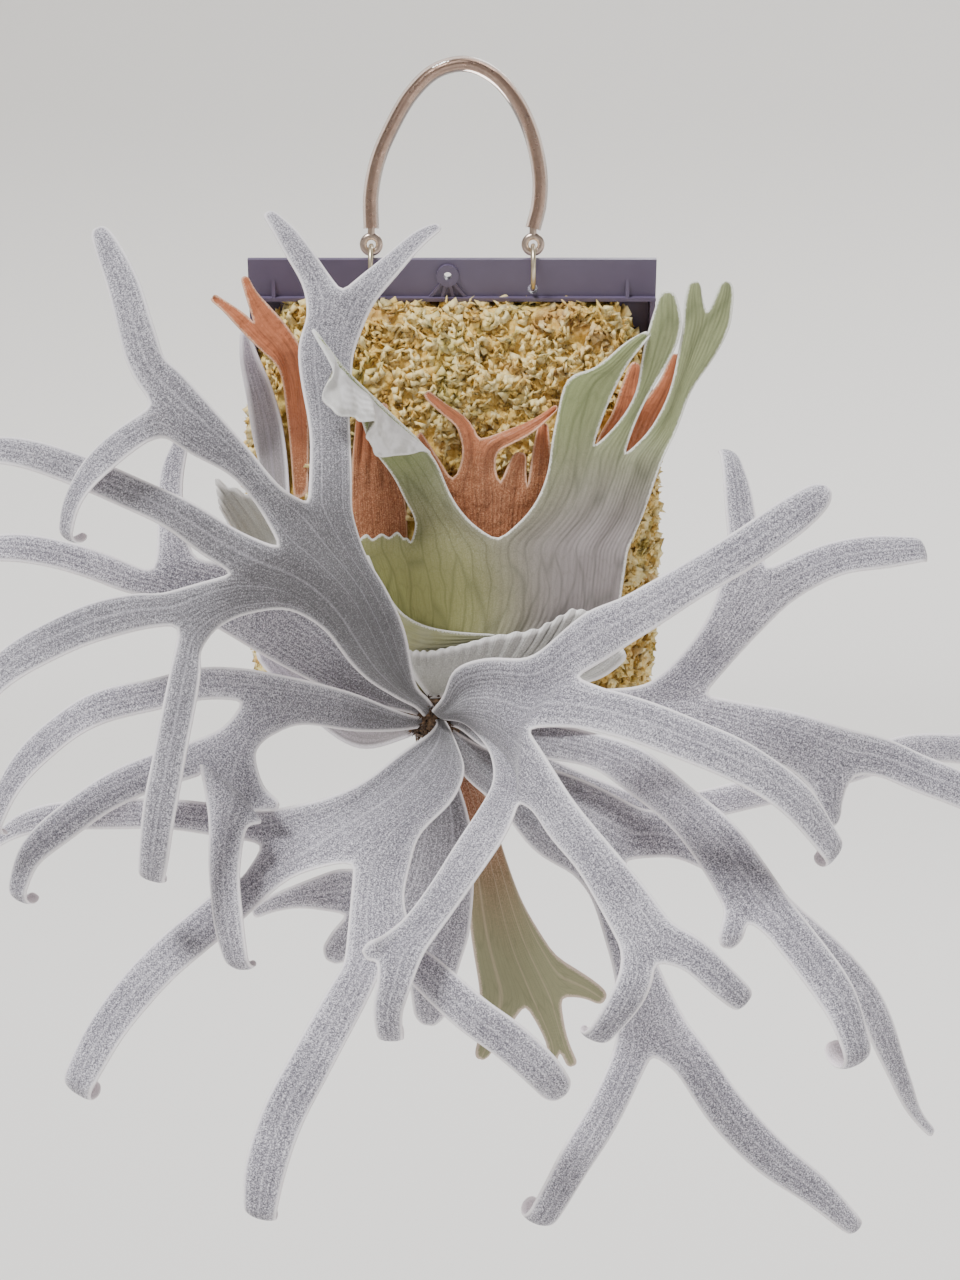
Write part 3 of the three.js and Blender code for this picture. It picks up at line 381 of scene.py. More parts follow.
@dataclass(frozen=True)
class Strip:
    """A narrow lobe along its midrib.

    The points are (right, up, forward, width). The lobe turns outward toward its tip, and its tip may
    curl back under by (degrees, radius).
    """

    points: list[tuple[float, float, float, float]]
    curl: tuple[float, float] | None = None
    outward: float = 0.8
    kids: list = field(default_factory=list)


@dataclass(frozen=True)
class Palm:
    """A fan between a left and a right edge.

    The rows are (left right, left up, right right, right up, forward), with the right edge's own forward
    last where the row slants. The last row bends through the crotches, and the kids grow from it. A frill
    is (half waves, depth).
    """

    rows: list[tuple[float, ...]]
    crotches: list[tuple[float, float, float]] = field(default_factory=list)
    kids: list = field(default_factory=list)
    columns: int = 4
    arch: float = 0.06
    frill: tuple[float, float] | None = None
    step: float = 7.0

    @staticmethod
    def ends(row: tuple[float, ...]) -> tuple[Vector, Vector]:
        """Gives a row's left and right ends."""
        return place(row[0], row[1], row[4]), place(row[2], row[3], row[-1])

    def corners(self) -> list[Vector]:
        """Gives the last row's left end, its crotches and its right end."""
        left, right = self.ends(self.rows[-1])
        return [left, *(place(*crotch) for crotch in self.crotches), right]

    def frill_at(self, share: float, late: float) -> Vector:
        """Gives how far the frill moves a place.

        Args:
            share: The place across the row, from 0 to 1.
            late: How much of the frill's depth the row has.

        Returns:
            The offset: toward the viewer and down, or back and up.
        """
        waves, depth = self.frill
        uneven = 0.65 + 0.35 * math.sin(11 * share + 1.0)
        wave = math.sin(share * math.pi * waves + 1.6 * math.sin(7 * share)) * depth * uneven * late
        return Vector((0, -wave, wave * 0.5))


# Leaves: the layouts, in millimetres as seen from the eye


FROND_A = Palm([
    (-4, -4, 0, 0, -4), (-9, 2, -4, 6, 8), (-15, 5, -9, 11, 20), (-30, 14, -12, 24, 40),
    (-40, 24, -15, 38, 58, 54), (-50, 37, -23, 55, 72, 62), (-67, 46, -32, 70, 84, 68),
    (-87, 43, -38, 89, 92, 72),
], [(-91, 61, 96), (-70, 72, 92), (-58, 92, 82)], [
    Palm([(-98, 37, -105, 57, 102), (-105, 27, -122, 52, 112)], [(-114, 38, 113)], [
        Strip([
            (-111, 19, 118, 12), (-116, -8, 124, 12.5), (-122, -39, 126, 13), (-125, -61, 122, 12.5),
            (-126, -70, 118, 11),
        ], curl=(120, 6), outward=0.2),
        Strip([
            (-130, 45, 120, 15), (-148, 41, 128, 16), (-168, 33, 134, 16), (-186, 23, 138, 15),
            (-204, 6, 138, 14), (-214, -16, 132, 12),
        ], curl=(120, 9)),
    ]),
    Strip([
        (-96, 75, 100, 16), (-114, 87, 106, 14), (-135, 97, 112, 13), (-159, 107, 116, 13),
        (-176, 113, 118, 12), (-193, 116, 118, 12), (-211, 114, 114, 11), (-224, 103, 106, 10),
    ], curl=(100, 9)),
    Palm([
        (-79, 91, -69, 99, 98), (-91, 105, -84, 117, 104), (-108, 114, -97, 132, 108),
        (-120, 122, -115, 152, 110),
    ], [(-125, 136, 112)], [
        Strip([
            (-129, 126, 116, 12), (-141, 118, 120, 12.5), (-153, 106, 122, 12), (-162, 92, 122, 10),
            (-164, 82, 120, 8),
        ], curl=(150, 5)),
        Strip([
            (-127, 151, 112, 15), (-133, 169, 110, 14), (-138, 187, 106, 13), (-146, 206, 98, 10),
            (-150, 214, 94, 6),
        ]),
    ]),
    Palm([
        (-56, 107, -38, 108, 76, 70), (-56, 125, -39, 131, 68, 63), (-60, 147, -38, 148, 60, 56),
        (-61, 162, -37, 159, 55, 52), (-57, 175, -31, 175, 52, 50),
    ], [(-42, 185, 50)], [
        Strip([(-53, 190, 48, 11.5), (-61, 203, 46, 10.5), (-68, 213, 44, 9), (-75, 221, 42, 5)]),
        Strip([(-33, 185, 50, 12), (-19, 199, 48, 10.5), (-6, 211, 46, 8), (1, 215, 45, 4)]),
    ]),
])

FROND_B = Palm([
    (-4, -3, -2, 1, -8), (-12, 0, -9, 4, 2), (-25, 3, -16, 11, 12), (-47, 10, -29, 23, 24),
    (-76, 25, -52, 45, 36), (-98, 38, -77, 63, 46), (-120, 50, -107, 67, 54),
], [(-125, 63, 56)], [
    Strip([
        (-133, 58, 60, 12), (-148, 64, 64, 12), (-164, 69, 66, 12), (-186, 73, 66, 12),
        (-206, 70, 62, 11), (-220, 58, 54, 9),
    ], curl=(90, 9)),
    Strip([(-117, 76, 54, 11.5), (-118, 91, 52, 11), (-117, 107, 50, 10.5), (-111, 126, 42, 6)]),
])

FROND_C = Palm([
    (-2, -6, -2, -2, -8), (-10, -7, -9, -2, 2), (-19, -8, -19, 1, 12), (-38, -8, -36, 8, 30),
    (-61, -5, -58, 14, 44), (-75, -11, -83, 19, 56),
], [(-86, 5, 60)], [
    Palm([(-81, -18, -94, -7, 64), (-77, -33, -111, -14, 72)], [(-84, -44, 76), (-102, -28, 74)], [
        Strip([(-74, -40, 78, 7), (-70, -41, 79, 4)]),
        Strip([
            (-91, -34, 82, 15.5), (-93, -54, 92, 14), (-94, -74, 98, 13), (-92, -94, 100, 13),
            (-89, -108, 98, 12),
        ], curl=(120, 6)),
        Strip([
            (-115, -23, 78, 15), (-130, -28, 84, 14.5), (-148, -37, 90, 14.5), (-167, -51, 96, 14),
            (-181, -64, 98, 12.5), (-185, -76, 98, 9.5),
        ], curl=(150, 6)),
    ]),
    Strip([
        (-103, 13, 68, 13.5), (-124, 8, 76, 13), (-150, 2, 84, 14), (-175, -15, 90, 13.5),
        (-190, -34, 92, 12), (-195, -46, 90, 9),
    ], curl=(110, 6)),
])

FROND_D = Palm([
    (3, -3, -1, -3, -4), (5, -6, 0, -5, 14), (9, -15, -4, -10, 30), (12, -26, -16, -18, 46),
    (6, -40, -33, -31, 62, 60), (-8, -54, -52, -39, 74, 64), (-13, -71, -77, -44, 82, 66),
], [(-36, -67, 82), (-76, -59, 68)], [
    Palm([(-15, -83, -38, -85, 90), (-10, -103, -40, -105, 98)], [(-21, -109, 102)], [
        Strip([
            (-7, -113, 108, 14), (15, -133, 112, 15.5), (33, -146, 114, 15.5), (48, -160, 112, 15),
            (55, -170, 106, 12),
        ]),
        Strip([
            (-33, -113, 104, 15), (-45, -135, 112, 16), (-57, -157, 120, 16.5), (-68, -178, 126, 16.5),
            (-76, -202, 130, 16), (-78, -218, 128, 13.5),
        ], curl=(150, 6)),
    ]),
    Strip([
        (-77, -74, 78, 17), (-101, -93, 86, 16), (-127, -116, 102, 16), (-148, -143, 116, 15.5),
        (-157, -160, 118, 13.5),
    ], curl=(170, 7)),
    Strip([
        (-94, -48, 66, 13), (-118, -45, 66, 12), (-145, -45, 66, 12), (-169, -46, 64, 11.5),
        (-185, -50, 60, 9), (-196, -58, 56, 5),
    ]),
])

FROND_E = Palm([
    (-1, 1, 3, -2, -4), (-2, 1, 3, -3, 20), (3, 7, 11, -4, 36), (8, 19, 19, -11, 52),
    (23, 24, 24, -19, 66), (41, 24, 25, -31, 78), (57, 37, 18, -44, 88),
], [(64, 14, 92), (44, -9, 92), (39, -41, 92)], [
    Strip([
        (72, 35, 98, 21), (86, 42, 104, 17.5), (109, 56, 112, 15.5), (134, 71, 118, 15.5),
        (156, 86, 120, 15.5), (168, 95, 120, 12), (173, 99, 119, 7),
    ]),
    Strip([
        (68, 2, 98, 18.5), (90, -4, 106, 17.5), (116, -14, 112, 17.5), (138, -24, 114, 16.5),
        (160, -40, 112, 15.5), (174, -59, 106, 12.5),
    ], curl=(150, 6)),
    Palm([
        (48, -20, 42, -43, 98), (60, -39, 50, -55, 108), (74, -56, 62, -69, 116), (90, -75, 73, -88, 124),
        (104, -94, 82, -105, 130),
    ], [(96, -110, 132)], [
        Strip([(112, -106, 134, 13), (125, -118, 134, 12.5), (133, -125, 131, 11)], curl=(60, 7)),
        Strip([(88, -118, 134, 13), (81, -131, 134, 13), (73, -141, 131, 12)], curl=(120, 6)),
    ]),
    Palm([
        (31, -53, 8, -59, 98), (19, -71, -2, -75, 106), (5, -91, -14, -91, 114),
        (-6, -106, -24, -99, 124),
    ], [(-26, -110, 128)], [
        Strip([(-19, -121, 130, 13), (-22, -132, 128, 11), (-21, -141, 124, 10)], curl=(150, 6)),
        Strip([(-29, -105, 129, 9), (-32, -104, 128, 6)]),
    ]),
])

FROND_F = Palm([
    (2, 0, 3, -3, -6), (8, 3, 9, -2, 10), (23, 9, 23, -4, 20), (48, 11, 48, -6, 30), (72, 10, 72, -7, 38),
    (92, 12, 96, -9, 44), (102, 19, 118, -13, 50),
], [(118, 8, 50)], [
    Palm([(112, 30, 130, 22, 56), (121, 44, 141, 34, 62), (127, 61, 153, 46, 66)], [(145, 63, 68)], [
        Strip([
            (136, 74, 68, 13.5), (134, 89, 66, 12.5), (132, 103, 60, 12), (130, 112, 54, 10),
        ], curl=(60, 8)),
        Strip([
            (158, 60, 68, 15.5), (176, 68, 70, 14.5), (196, 71, 68, 14.5), (211, 72, 64, 12),
        ], curl=(90, 6)),
    ]),
    Palm([(136, 4, 136, -18, 54), (158, 0, 156, -25, 56), (183, -8, 166, -34, 58)], [(184, -27, 58)], [
        Strip([
            (198, -20, 58, 16), (213, -27, 58, 16), (231, -34, 56, 15), (244, -42, 52, 13),
            (250, -52, 48, 11),
        ], curl=(120, 8)),
        Strip([(174, -39, 58, 11.5), (175, -50, 56, 9)]),
    ]),
])

FROND_G = Palm([
    (2, -2, 2, -5, -8), (10, -2, 10, -7, 4), (23, -4, 22, -16, 14), (48, -5, 45, -20, 24),
    (72, -10, 68, -24, 36), (92, -17, 83, -34, 50), (113, -34, 103, -50, 64), (132, -50, 118, -70, 74),
    (149, -73, 128, -88, 82),
], [(137, -92, 84)], [
    Strip([
        (151, -91, 90, 16), (166, -110, 96, 16.5), (179, -129, 100, 16), (185, -147, 100, 13.5),
    ], curl=(190, 8)),
    Strip([(131, -95, 86, 11), (128, -104, 85, 9)]),
])

FROND_H = Palm([
    (3, -3, 3, -6, -16), (12, -6, 11, -11, -10), (32, -12, 30, -25, -10), (63, -26, 60, -41, -8),
    (90, -37, 88, -51, -4),
], kids=[
    Strip([
        (112, -42, -2, 13), (134, -37, 0, 12.5), (160, -31, 0, 12.5), (187, -23, -2, 12.5),
        (209, -16, -8, 12.5), (231, -16, -16, 12.5),
    ], kids=[
        Strip([(243, -11, -22, 8), (252, -7, -28, 6)]),
        Strip([(242, -22, -24, 8), (248, -30, -32, 6)]),
    ]),
])

FROND_I = Palm([
    (2, -4, 0, -6, -10), (9, -9, 5, -13, -2), (21, -16, 11, -27, 2), (41, -22, 28, -42, 8),
    (67, -31, 43, -61, 14), (90, -43, 60, -71, 20),
], [(83, -65, 22)], [
    Strip([
        (107, -55, 26, 18), (134, -70, 30, 15.5), (152, -89, 32, 14.5), (173, -107, 30, 14),
        (190, -127, 26, 14), (199, -147, 22, 12), (206, -165, 16, 9), (212, -178, 10, 5),
        (219, -186, 6, 4),
    ]),
    Palm([
        (85, -79, 68, -81, 26), (92, -96, 74, -99, 32), (98, -113, 79, -118, 38),
        (110, -137, 80, -141, 44),
    ], [(95, -151, 46)], [
        Strip([
            (112, -153, 52, 16), (127, -175, 58, 17), (147, -196, 60, 16), (167, -211, 58, 13),
            (182, -225, 54, 9),
        ], curl=(60, 8)),
        Strip([
            (84, -156, 52, 14), (75, -175, 58, 14.5), (60, -200, 62, 15), (48, -221, 62, 13),
        ], curl=(190, 6)),
    ]),
])

FROND_J = Palm([
    (0, -5, -3, -4, -10), (1, -14, -4, -13, 2), (8, -28, -6, -28, 6), (15, -52, -13, -52, 10),
    (16, -76, -23, -69, 12), (14, -99, -43, -69, 14),
], [(-19, -105, 14), (-39, -89, 14)], [
    Strip([(-2, -118, 12, 20), (-3, -131, 8, 15), (-4, -138, 5, 9)]),
    Strip([(-42, -103, 12, 12), (-47, -110, 10, 9)]),
    Strip([(-60, -81, 14, 10), (-74, -85, 10, 6.5), (-81, -89, 8, 4)]),
])

FROND_K = Palm([
    (3, -6, -1, -7, -20), (6, -15, 1, -16, -12), (15, -24, 6, -26, -12), (23, -41, 9, -44, -18),
    (29, -61, 13, -68, -24), (38, -85, 15, -96, -28), (52, -108, 19, -121, -30),
], [(54, -125, -30), (39, -128, -30)], [
    Strip([(65, -121, -30, 10), (74, -127, -28, 6)]),
    Strip([(51, -139, -30, 10), (54, -148, -30, 9)], kids=[
        Strip([(60, -156, -31, 4.5)]),
        Strip([(50, -157, -31, 4)]),
    ]),
    Strip([(25, -139, -32, 11), (19, -153, -33, 6)]),
])

GREEN_SHIELD = Palm([
    (-5, 8, 7, 9, -8), (-17, 24, 46, 24, -4), (-26, 45, 77, 38, 2), (-31, 62, 82, 58, 8),
    (-35, 71, 84, 72, 12),
], [(-11.5, 74.5, 10), (27, 76, 4)], [
    Palm([
        (-35, 75, -13, 77, 12),
    ], [
        (-31, 78.5, 12.5), (-28.5, 75.5, 12), (-24.5, 79, 12.5), (-21, 76, 12), (-17.5, 79.5, 12.5),
        (-15, 76.5, 12),
    ], columns=7),
    Palm([
        (-9, 84, 15, 83, 10), (-14, 94, 6, 95, 14), (-19, 104, 0, 110, 19), (-25, 112, -8, 120, 27),
        (-30, 120, -17, 128.5, 37), (-33, 129, -26, 137, 49), (-36.5, 140, -33.5, 144, 60),
        (-43, 150.5, -41.5, 152.5, 71), (-54, 167, -53, 168, 75),
    ], columns=2),
    Palm([
        (42, 89, 90, 85, 12), (49, 105, 95, 99, 16), (51, 120, 100, 113, 20),
    ], [(68, 116, 16), (82, 113, 16)], [
        Palm([
            (54, 134, 74, 133, 22), (58, 148, 80, 146, 25), (70, 151, 85, 155, 27),
            (82, 162, 91, 162, 28), (92, 168, 94, 166, 27),
        ], columns=2),
        Palm([
            (79, 126, 87, 127, 18), (88, 140, 95, 143, 20), (91, 158, 104, 158, 24),
            (94, 170, 108, 171, 27), (99, 186, 105, 185, 27),
        ], columns=2),
        Palm([
            (94, 124, 106, 125, 18), (103, 141, 112, 142, 20), (107, 160, 122, 156, 23),
            (109, 171, 129, 169, 25),
        ], [(119, 175, 25)], [
            Strip([(113, 184, 27, 8), (114, 190, 27, 5)]),
            Strip([(127, 183, 27, 8), (128, 190, 27, 5)]),
        ]),
    ]),
], arch=0.03)

SHIELD_FLAP = Palm([
    (-5.3, 116, -2.5, 114.5, 24, 21.5), (-18.6, 113.2, -13, 124.5, 37, 32.5),
    (-27.5, 115, -20, 131, 46, 41), (-31, 120.5, -26, 136.5, 54, 49), (-27.8, 128, -31, 141.5, 61, 56),
    (-36.5, 129.5, -36, 146, 68, 63.5), (-44, 132.8, -40.5, 150.5, 75, 70),
    (-50.5, 138, -42.8, 153.4, 77, 72), (-49.6, 143.5, -44.2, 155, 78, 73),
    (-45.6, 149.5, -45.4, 157, 77, 74), (-49.2, 158.2, -48, 161, 77, 74.5),
    (-52.5, 163.8, -51.5, 165.8, 76.5, 75), (-55.2, 168.6, -54.3, 169.4, 76, 75),
], columns=2, arch=0.04, step=2.4)

SHIELD_LIP = Palm([
    (-30.5, 70.7, -33, 60, 15, 7), (-27, 60.6, -31, 49, 12.3, 5), (-22.5, 53, -27, 39, 10.4, 4.5),
    (-16.4, 44.2, -21, 30, 9, 4.2), (-9.7, 39.8, -13, 24.5, 9, 4.2), (-2.2, 37.1, -4, 24.5, 8.6, 4.5),
    (8, 35.4, 6, 26.5, 8, 4.6), (18, 34.6, 15, 29.5, 7, 4.6), (26, 34.3, 24, 31.8, 5.5, 4.4),
], columns=2, arch=0.03)

YOUNG_SHIELD = Palm([
    (-3, 8, 5, 9, -3), (-9, 15, 37, 12, 2), (-13, 22, 70, 14, 4), (-13, 27, 84, 24, 6),
], [
    (-3, 27, 9), (10, 30, 11), (24, 34, 12), (44, 37, 12), (60, 46, 12), (74, 44, 10),
], columns=20, arch=0.02, frill=(41, 1.6))

DRIED_SHIELD_MIDDLE = Palm([
    (2, 72, 46, 72, -2), (-2, 88, 50, 90, 0), (-4, 98, 52, 100, 2),
], [(7, 101, 3), (28, 99, 3), (40, 97, 2)], [
    Strip([(-2, 108, 5, 8), (-6, 116, 9, 7), (-8, 122, 14, 5)]),
    Palm([(11, 108, 25, 107, 6), (12, 116, 26, 115, 10)], [(18, 119, 12)], [
        Strip([(12, 127, 14, 8), (4, 133, 17, 6), (-5, 140, 20, 4)]),
        Strip([(31, 121, 12, 7), (42, 126, 13, 6), (53, 134, 15, 3)]),
    ]),
    Strip([(35, 107, 5, 8), (37, 114, 7, 5)]),
    Strip([(46, 110, 4, 9), (47, 127, 6, 4)]),
])

DRIED_SHIELD_LEFT = Palm([
    (-36, 70, -13, 70, 0), (-38, 90, -14, 92, 2), (-37, 112, -18, 112, 5), (-35, 134, -22, 136, 10),
], columns=4, frill=(5, 1.6))

DRIED_SHIELD_RIGHT = Palm([
    (66, 100, 88, 96, -20), (70, 118, 96, 116, -6), (78, 132, 102, 132, 10),
], [(90, 136, 10)], [
    Strip([(86, 146, 12, 7), (88, 154, 13, 4)]),
    Strip([(102, 144, 12, 8), (106, 158, 13, 4)]),
])

DRIED_LOBES_LEFT = Palm([
    (-62, 100, -56, 104, -24), (-66, 130, -57, 132, -4), (-70, 152, -60, 160, 18),
    (-78, 160, -68, 172, 20),
], [(-80, 170, 20)], [
    Strip([(-92, 178, 22, 4.5), (-99, 183, 22, 3)]),
    Strip([(-82, 184, 22, 4.5), (-85, 192, 22, 3)]),
])

GREY_OLD_LOBE = Palm([(-74, 96, -63, 96, -36), (-80, 116, -66, 120, -20), (-84, 140, -74, 146, 2)], kids=[
    Strip([(-83, 156, 4, 8), (-85, 168, 6, 4)]),
])

FRILLED_SIDE_SHIELD = Palm([
    (-78, 60, -66, 66, -40), (-88, 76, -70, 84, -20), (-96, 90, -74, 92, -8),
], [(-98, 104, -6)], columns=6, frill=(13, 2.4))

LOWER_LEFT_SHIELD = Palm([
    (-10, -10, -12, 8, -12), (-34, -16, -34, 26, -14), (-58, 0, -56, 40, -20), (-80, 24, -74, 50, -30),
], columns=4)


# Leaves: growing a sheet


@dataclass(frozen=True)
class Line:
    """A line of vertices from a leaf's foot to a tip: its share across the row, and its rib mark."""

    share: float
    rib: float


@dataclass
class Station:
    """A cross-section of a strip."""

    centre: Vector
    tangent: Vector
    across: Vector
    width: float
    reached: float


@dataclass
class Row:
    """A row of a sheet's vertices: their numbers, their places across the leaf, and the way so far."""

    numbers: list[int]
    fans: list[float]
    along: float


class LeafSheet:
    """A leaf's middle surface: shared vertices in rows, joined by quads, each with its marks."""

    PALM_LATE = 1.6
    STRIP_LINES = 4
    STRIP_STEP = 7.0
    STRIP_ARCH = 0.07
    STRIP_SETTLE = 1.1
    CURL_STEP = 15.0
    CURL_TAPER = 0.3
    TIP_REACH = 0.55
    TIP_CLEAR = 1.15
    TIP_SHARES = (1.0, 0.7, 0.42, 0.2, 0.06)
    TIP_BLUNT = 0.3
    RIPPLE = 0.5
    RIPPLE_LENGTH = 34.0
    RIPPLE_LAG = 1.9

    def __init__(self, part: Palm) -> None:
        """Grows the sheet.

        Args:
            part: The leaf's layout.
        """
        self.points: list[Vector] = []
        self.faces: list[tuple[int, ...]] = []
        self.marks: dict[str, list[float]] = {"rib": [], "fan": [], "along": []}
        self._palm(part)

    def _lay(self, points: list[Vector], lines: list[Line], fans: list[float], along: float,
             before: Row | None = None) -> Row:
        """Adds a row of vertices, and joins it to the row before it.

        Args:
            points: The vertices, from left to right.
            lines: The lines that they lie on.
            fans: Their places across the leaf.
            along: The way to them from the leaf's foot.
            before: The row before, if there is one.

        Returns:
            The row.
        """
        row = Row([len(self.points) + k for k in range(len(points))], fans, along)
        self.points += points
        self.marks["rib"] += [line.rib for line in lines]
        self.marks["fan"] += fans
        self.marks["along"] += [along] * len(points)
        if before:
            lower, upper = before.numbers, row.numbers
            self.faces += zip(lower, lower[1:], upper[1:], upper)
        return row

    def lines(self, part: Palm | Strip) -> list[Line]:
        """Gives a part's lines across its start, from its left edge to its right edge.

        Args:
            part: A palm or a strip.

        Returns:
            The lines, with the rib mark 0 on a midrib and 1 between two lobes.
        """
        if not part.kids:
            count = self.STRIP_LINES
            if isinstance(part, Palm):
                count = part.columns * (4 if part.frill else 2)
            period = count if count <= 6 else 4
            return [Line(j / count, abs(2 * ((j % period) / period) - 1)) for j in range(count + 1)]
        shares = self._shares(part)
        found = [Line(0.0, 1.0)]
        for low, high, kid in zip(shares, shares[1:], part.kids):
            found += [Line(low + line.share * (high - low), line.rib) for line in self.lines(kid)[1:]]
        return found

    @staticmethod
    def _shares(part: Palm | Strip) -> list[float]:
        """Shares out a part's end among its kids, by the widths between its crotches.

        Args:
            part: A palm, or a strip that forks.

        Returns:
            Where each kid starts, from 0 at the left edge to 1 at the right edge.
        """
        if isinstance(part, Strip):
            return [k / len(part.kids) for k in range(len(part.kids) + 1)]
        reached = reaches(part.corners())
        return [length / reached[-1] for length in reached]

    def _palm(self, part: Palm, start: Row | None = None) -> None:
        """Grows a palm and its kids.

        Args:
            part: The palm.
            start: The row that it grows from, or None for its own first row.
        """
        lines = self.lines(part)
        lefts, rights = (list(edge) for edge in zip(*(part.ends(row) for row in part.rows)))
        if start:
            lefts.insert(0, self.points[start.numbers[0]])
            rights.insert(0, self.points[start.numbers[-1]])
        flat = [lefts[0].lerp(rights[0], line.share) for line in lines]
        start = start or self._lay([*flat], lines, [line.share for line in lines], 0.0)
        firsts = [self.points[k] - point for k, point in zip(start.numbers, flat)]
        bends = self._bends(part, lines)
        left_edge, right_edge = SmoothCurve(lefts), SmoothCurve(rights)
        length = (left_edge.length + right_edge.length) / 2
        count = max(len(lefts) - 1, round(length / part.step))
        row = start
        for i in range(1, count + 1):
            t = i / count
            late = t ** self.PALM_LATE
            left, right = left_edge.at(t), right_edge.at(t)
            across = right - left
            onward = left_edge.tangent(t) + right_edge.tangent(t)
            lift = across.cross(onward).normalized() * (across.length * part.arch * 4)
            points = []
            for line, bend, first in zip(lines, bends, firsts):
                s = line.share
                point = left.lerp(right, s) + lift * (s * (1 - s) * smoothstep(min(1.0, 2 * t)))
                point += bend * late
                point += first * (1 - t) ** 2
                if part.frill:
                    point += part.frill_at(s, late)
                points.append(point)
            row = self._lay(points, lines, start.fans, start.along + t * length, row)
        self._grow_kids(part, row)

    def _bends(self, part: Palm, lines: list[Line]) -> list[Vector]:
        """Gives how far a palm's last row bends from the straight line between its edges.

        Args:
            part: The palm.
            lines: Its lines.

        Returns:
            An offset for each line.
        """
        corners = part.corners()
        shares = self._shares(part) if part.kids else [k / (len(corners) - 1) for k in range(len(corners))]
        bends = []
        for line in lines:
            k = 0
            while k < len(shares) - 2 and line.share > shares[k + 1] + TINY:
                k += 1
            t = clamp01((line.share - shares[k]) / (shares[k + 1] - shares[k]))
            bends.append(corners[k].lerp(corners[k + 1], t) - corners[0].lerp(corners[-1], line.share))
        return bends

    def _strip(self, part: Strip, start: Row) -> None:
        """Grows a strip and its kids.

        Args:
            part: The strip.
            start: The row that it grows from.
        """
        lines = self.lines(part)
        left, right = self.points[start.numbers[0]], self.points[start.numbers[-1]]
        route = [left.lerp(right, 0.5), *(place(*point[:3]) for point in part.points)]
        widths = [(right - left).length, *(point[3] for point in part.points)]
        stations = self._stations(part, route, widths)
        if part.curl:
            self._curl(stations, *part.curl)
        if not part.kids:
            stations = self._round_tip(stations)
        settled = max(widths[:2]) * self.STRIP_SETTLE
        offsets: list[Vector] = []
        row = start
        for station in stations:
            normal = station.across.cross(station.tangent).normalized()
            points = []
            for line in lines:
                side = 2 * line.share - 1
                turn = station.reached / self.RIPPLE_LENGTH * 2 * math.pi
                turn += self.RIPPLE_LAG if side > 0 else 0.0
                point = station.centre + station.across * ((line.share - 0.5) * station.width)
                point += normal * ((1 - side * side) * station.width * self.STRIP_ARCH)
                point += normal * (math.sin(turn) * side * side * self.RIPPLE)
                points.append(point)
            if not offsets:
                offsets = [self.points[k] - point for k, point in zip(start.numbers, points)]
                continue
            rest = 1 - smoothstep(clamp01(station.reached / settled))
            points = [point + offset * rest for point, offset in zip(points, offsets)]
            row = self._lay(points, lines, start.fans, start.along + station.reached, row)
        self._grow_kids(part, row)

    def _stations(self, part: Strip, route: list[Vector], widths: list[float]) -> list[Station]:
        """Gives a strip's cross-sections, evenly spaced along its route.

        Args:
            part: The strip.
            route: The points of its midrib, from the row that it grows from.
            widths: Its width at each of them.

        Returns:
            The cross-sections.
        """
        curve = SmoothCurve(route)
        count = max(len(route) - 1, round(curve.length / self.STRIP_STEP))
        outward = Vector((route[-1].x, 0, route[-1].z)).normalized()
        stations = []
        for i in range(count + 1):
            t = i / count
            parameter = curve.parameter(t)
            at = parameter * (len(route) - 1)
            k = min(len(route) - 2, int(at))
            width = widths[k] + (widths[k + 1] - widths[k]) * (at - k)
            tangent = curve.tangent(parameter)
            across = tangent.cross(FACING + outward * (part.outward * t)).normalized()
            stations.append(Station(curve.at(parameter), tangent, across, width, t * curve.length))
        return stations

    def _curl(self, stations: list[Station], degrees: float, radius: float) -> None:
        """Adds the cross-sections of a tip that curls back under.

        Args:
            stations: The strip's cross-sections, which are added to.
            degrees: How far the tip turns.
            radius: The radius of its turn.
        """
        last = stations[-1]
        count = max(3, round(degrees / self.CURL_STEP))
        normal = last.across.cross(last.tangent).normalized()
        for i in range(1, count + 1):
            angle = math.radians(degrees) * i / count
            centre = last.centre + last.tangent * (radius * math.sin(angle))
            centre -= normal * (radius * (1 - math.cos(angle)))
            tangent = last.tangent * math.cos(angle) - normal * math.sin(angle)
            width = last.width * (1 - self.CURL_TAPER * i / count)
            stations.append(Station(centre, tangent, last.across, width, last.reached + radius * angle))

    def _round_tip(self, stations: list[Station]) -> list[Station]:
        """Narrows a strip's last half width along an arc, with closer cross-sections there.

        Args:
            stations: The strip's cross-sections.

        Returns:
            The cross-sections, with the tip's own in place of the last few.
        """
        total = stations[-1].reached
        reach = stations[-1].width * self.TIP_REACH
        kept = [station for station in stations if station.reached < total - reach * self.TIP_CLEAR]
        kept += [self._between(stations, total - share * reach) for share in self.TIP_SHARES]
        kept.append(stations[-1])
        for station in kept:
            rest = clamp01((total - station.reached) / reach)
            station.width *= self.TIP_BLUNT + (1 - self.TIP_BLUNT) * math.sqrt(1 - (1 - rest) ** 2)
        return kept

    @staticmethod
    def _between(stations: list[Station], reached: float) -> Station:
        """Gives the cross-section at a length along a strip, between its neighbours.

        Args:
            stations: The strip's cross-sections.
            reached: The length.

        Returns:
            The cross-section there.
        """
        k = 1
        while k < len(stations) - 1 and stations[k].reached < reached:
            k += 1
        a, b = stations[k - 1], stations[k]
        t = clamp01((reached - a.reached) / max(b.reached - a.reached, TINY))
        tangent, across = a.tangent.lerp(b.tangent, t), a.across.lerp(b.across, t)
        width = a.width + (b.width - a.width) * t
        return Station(a.centre.lerp(b.centre, t), tangent.normalized(), across.normalized(), width, reached)

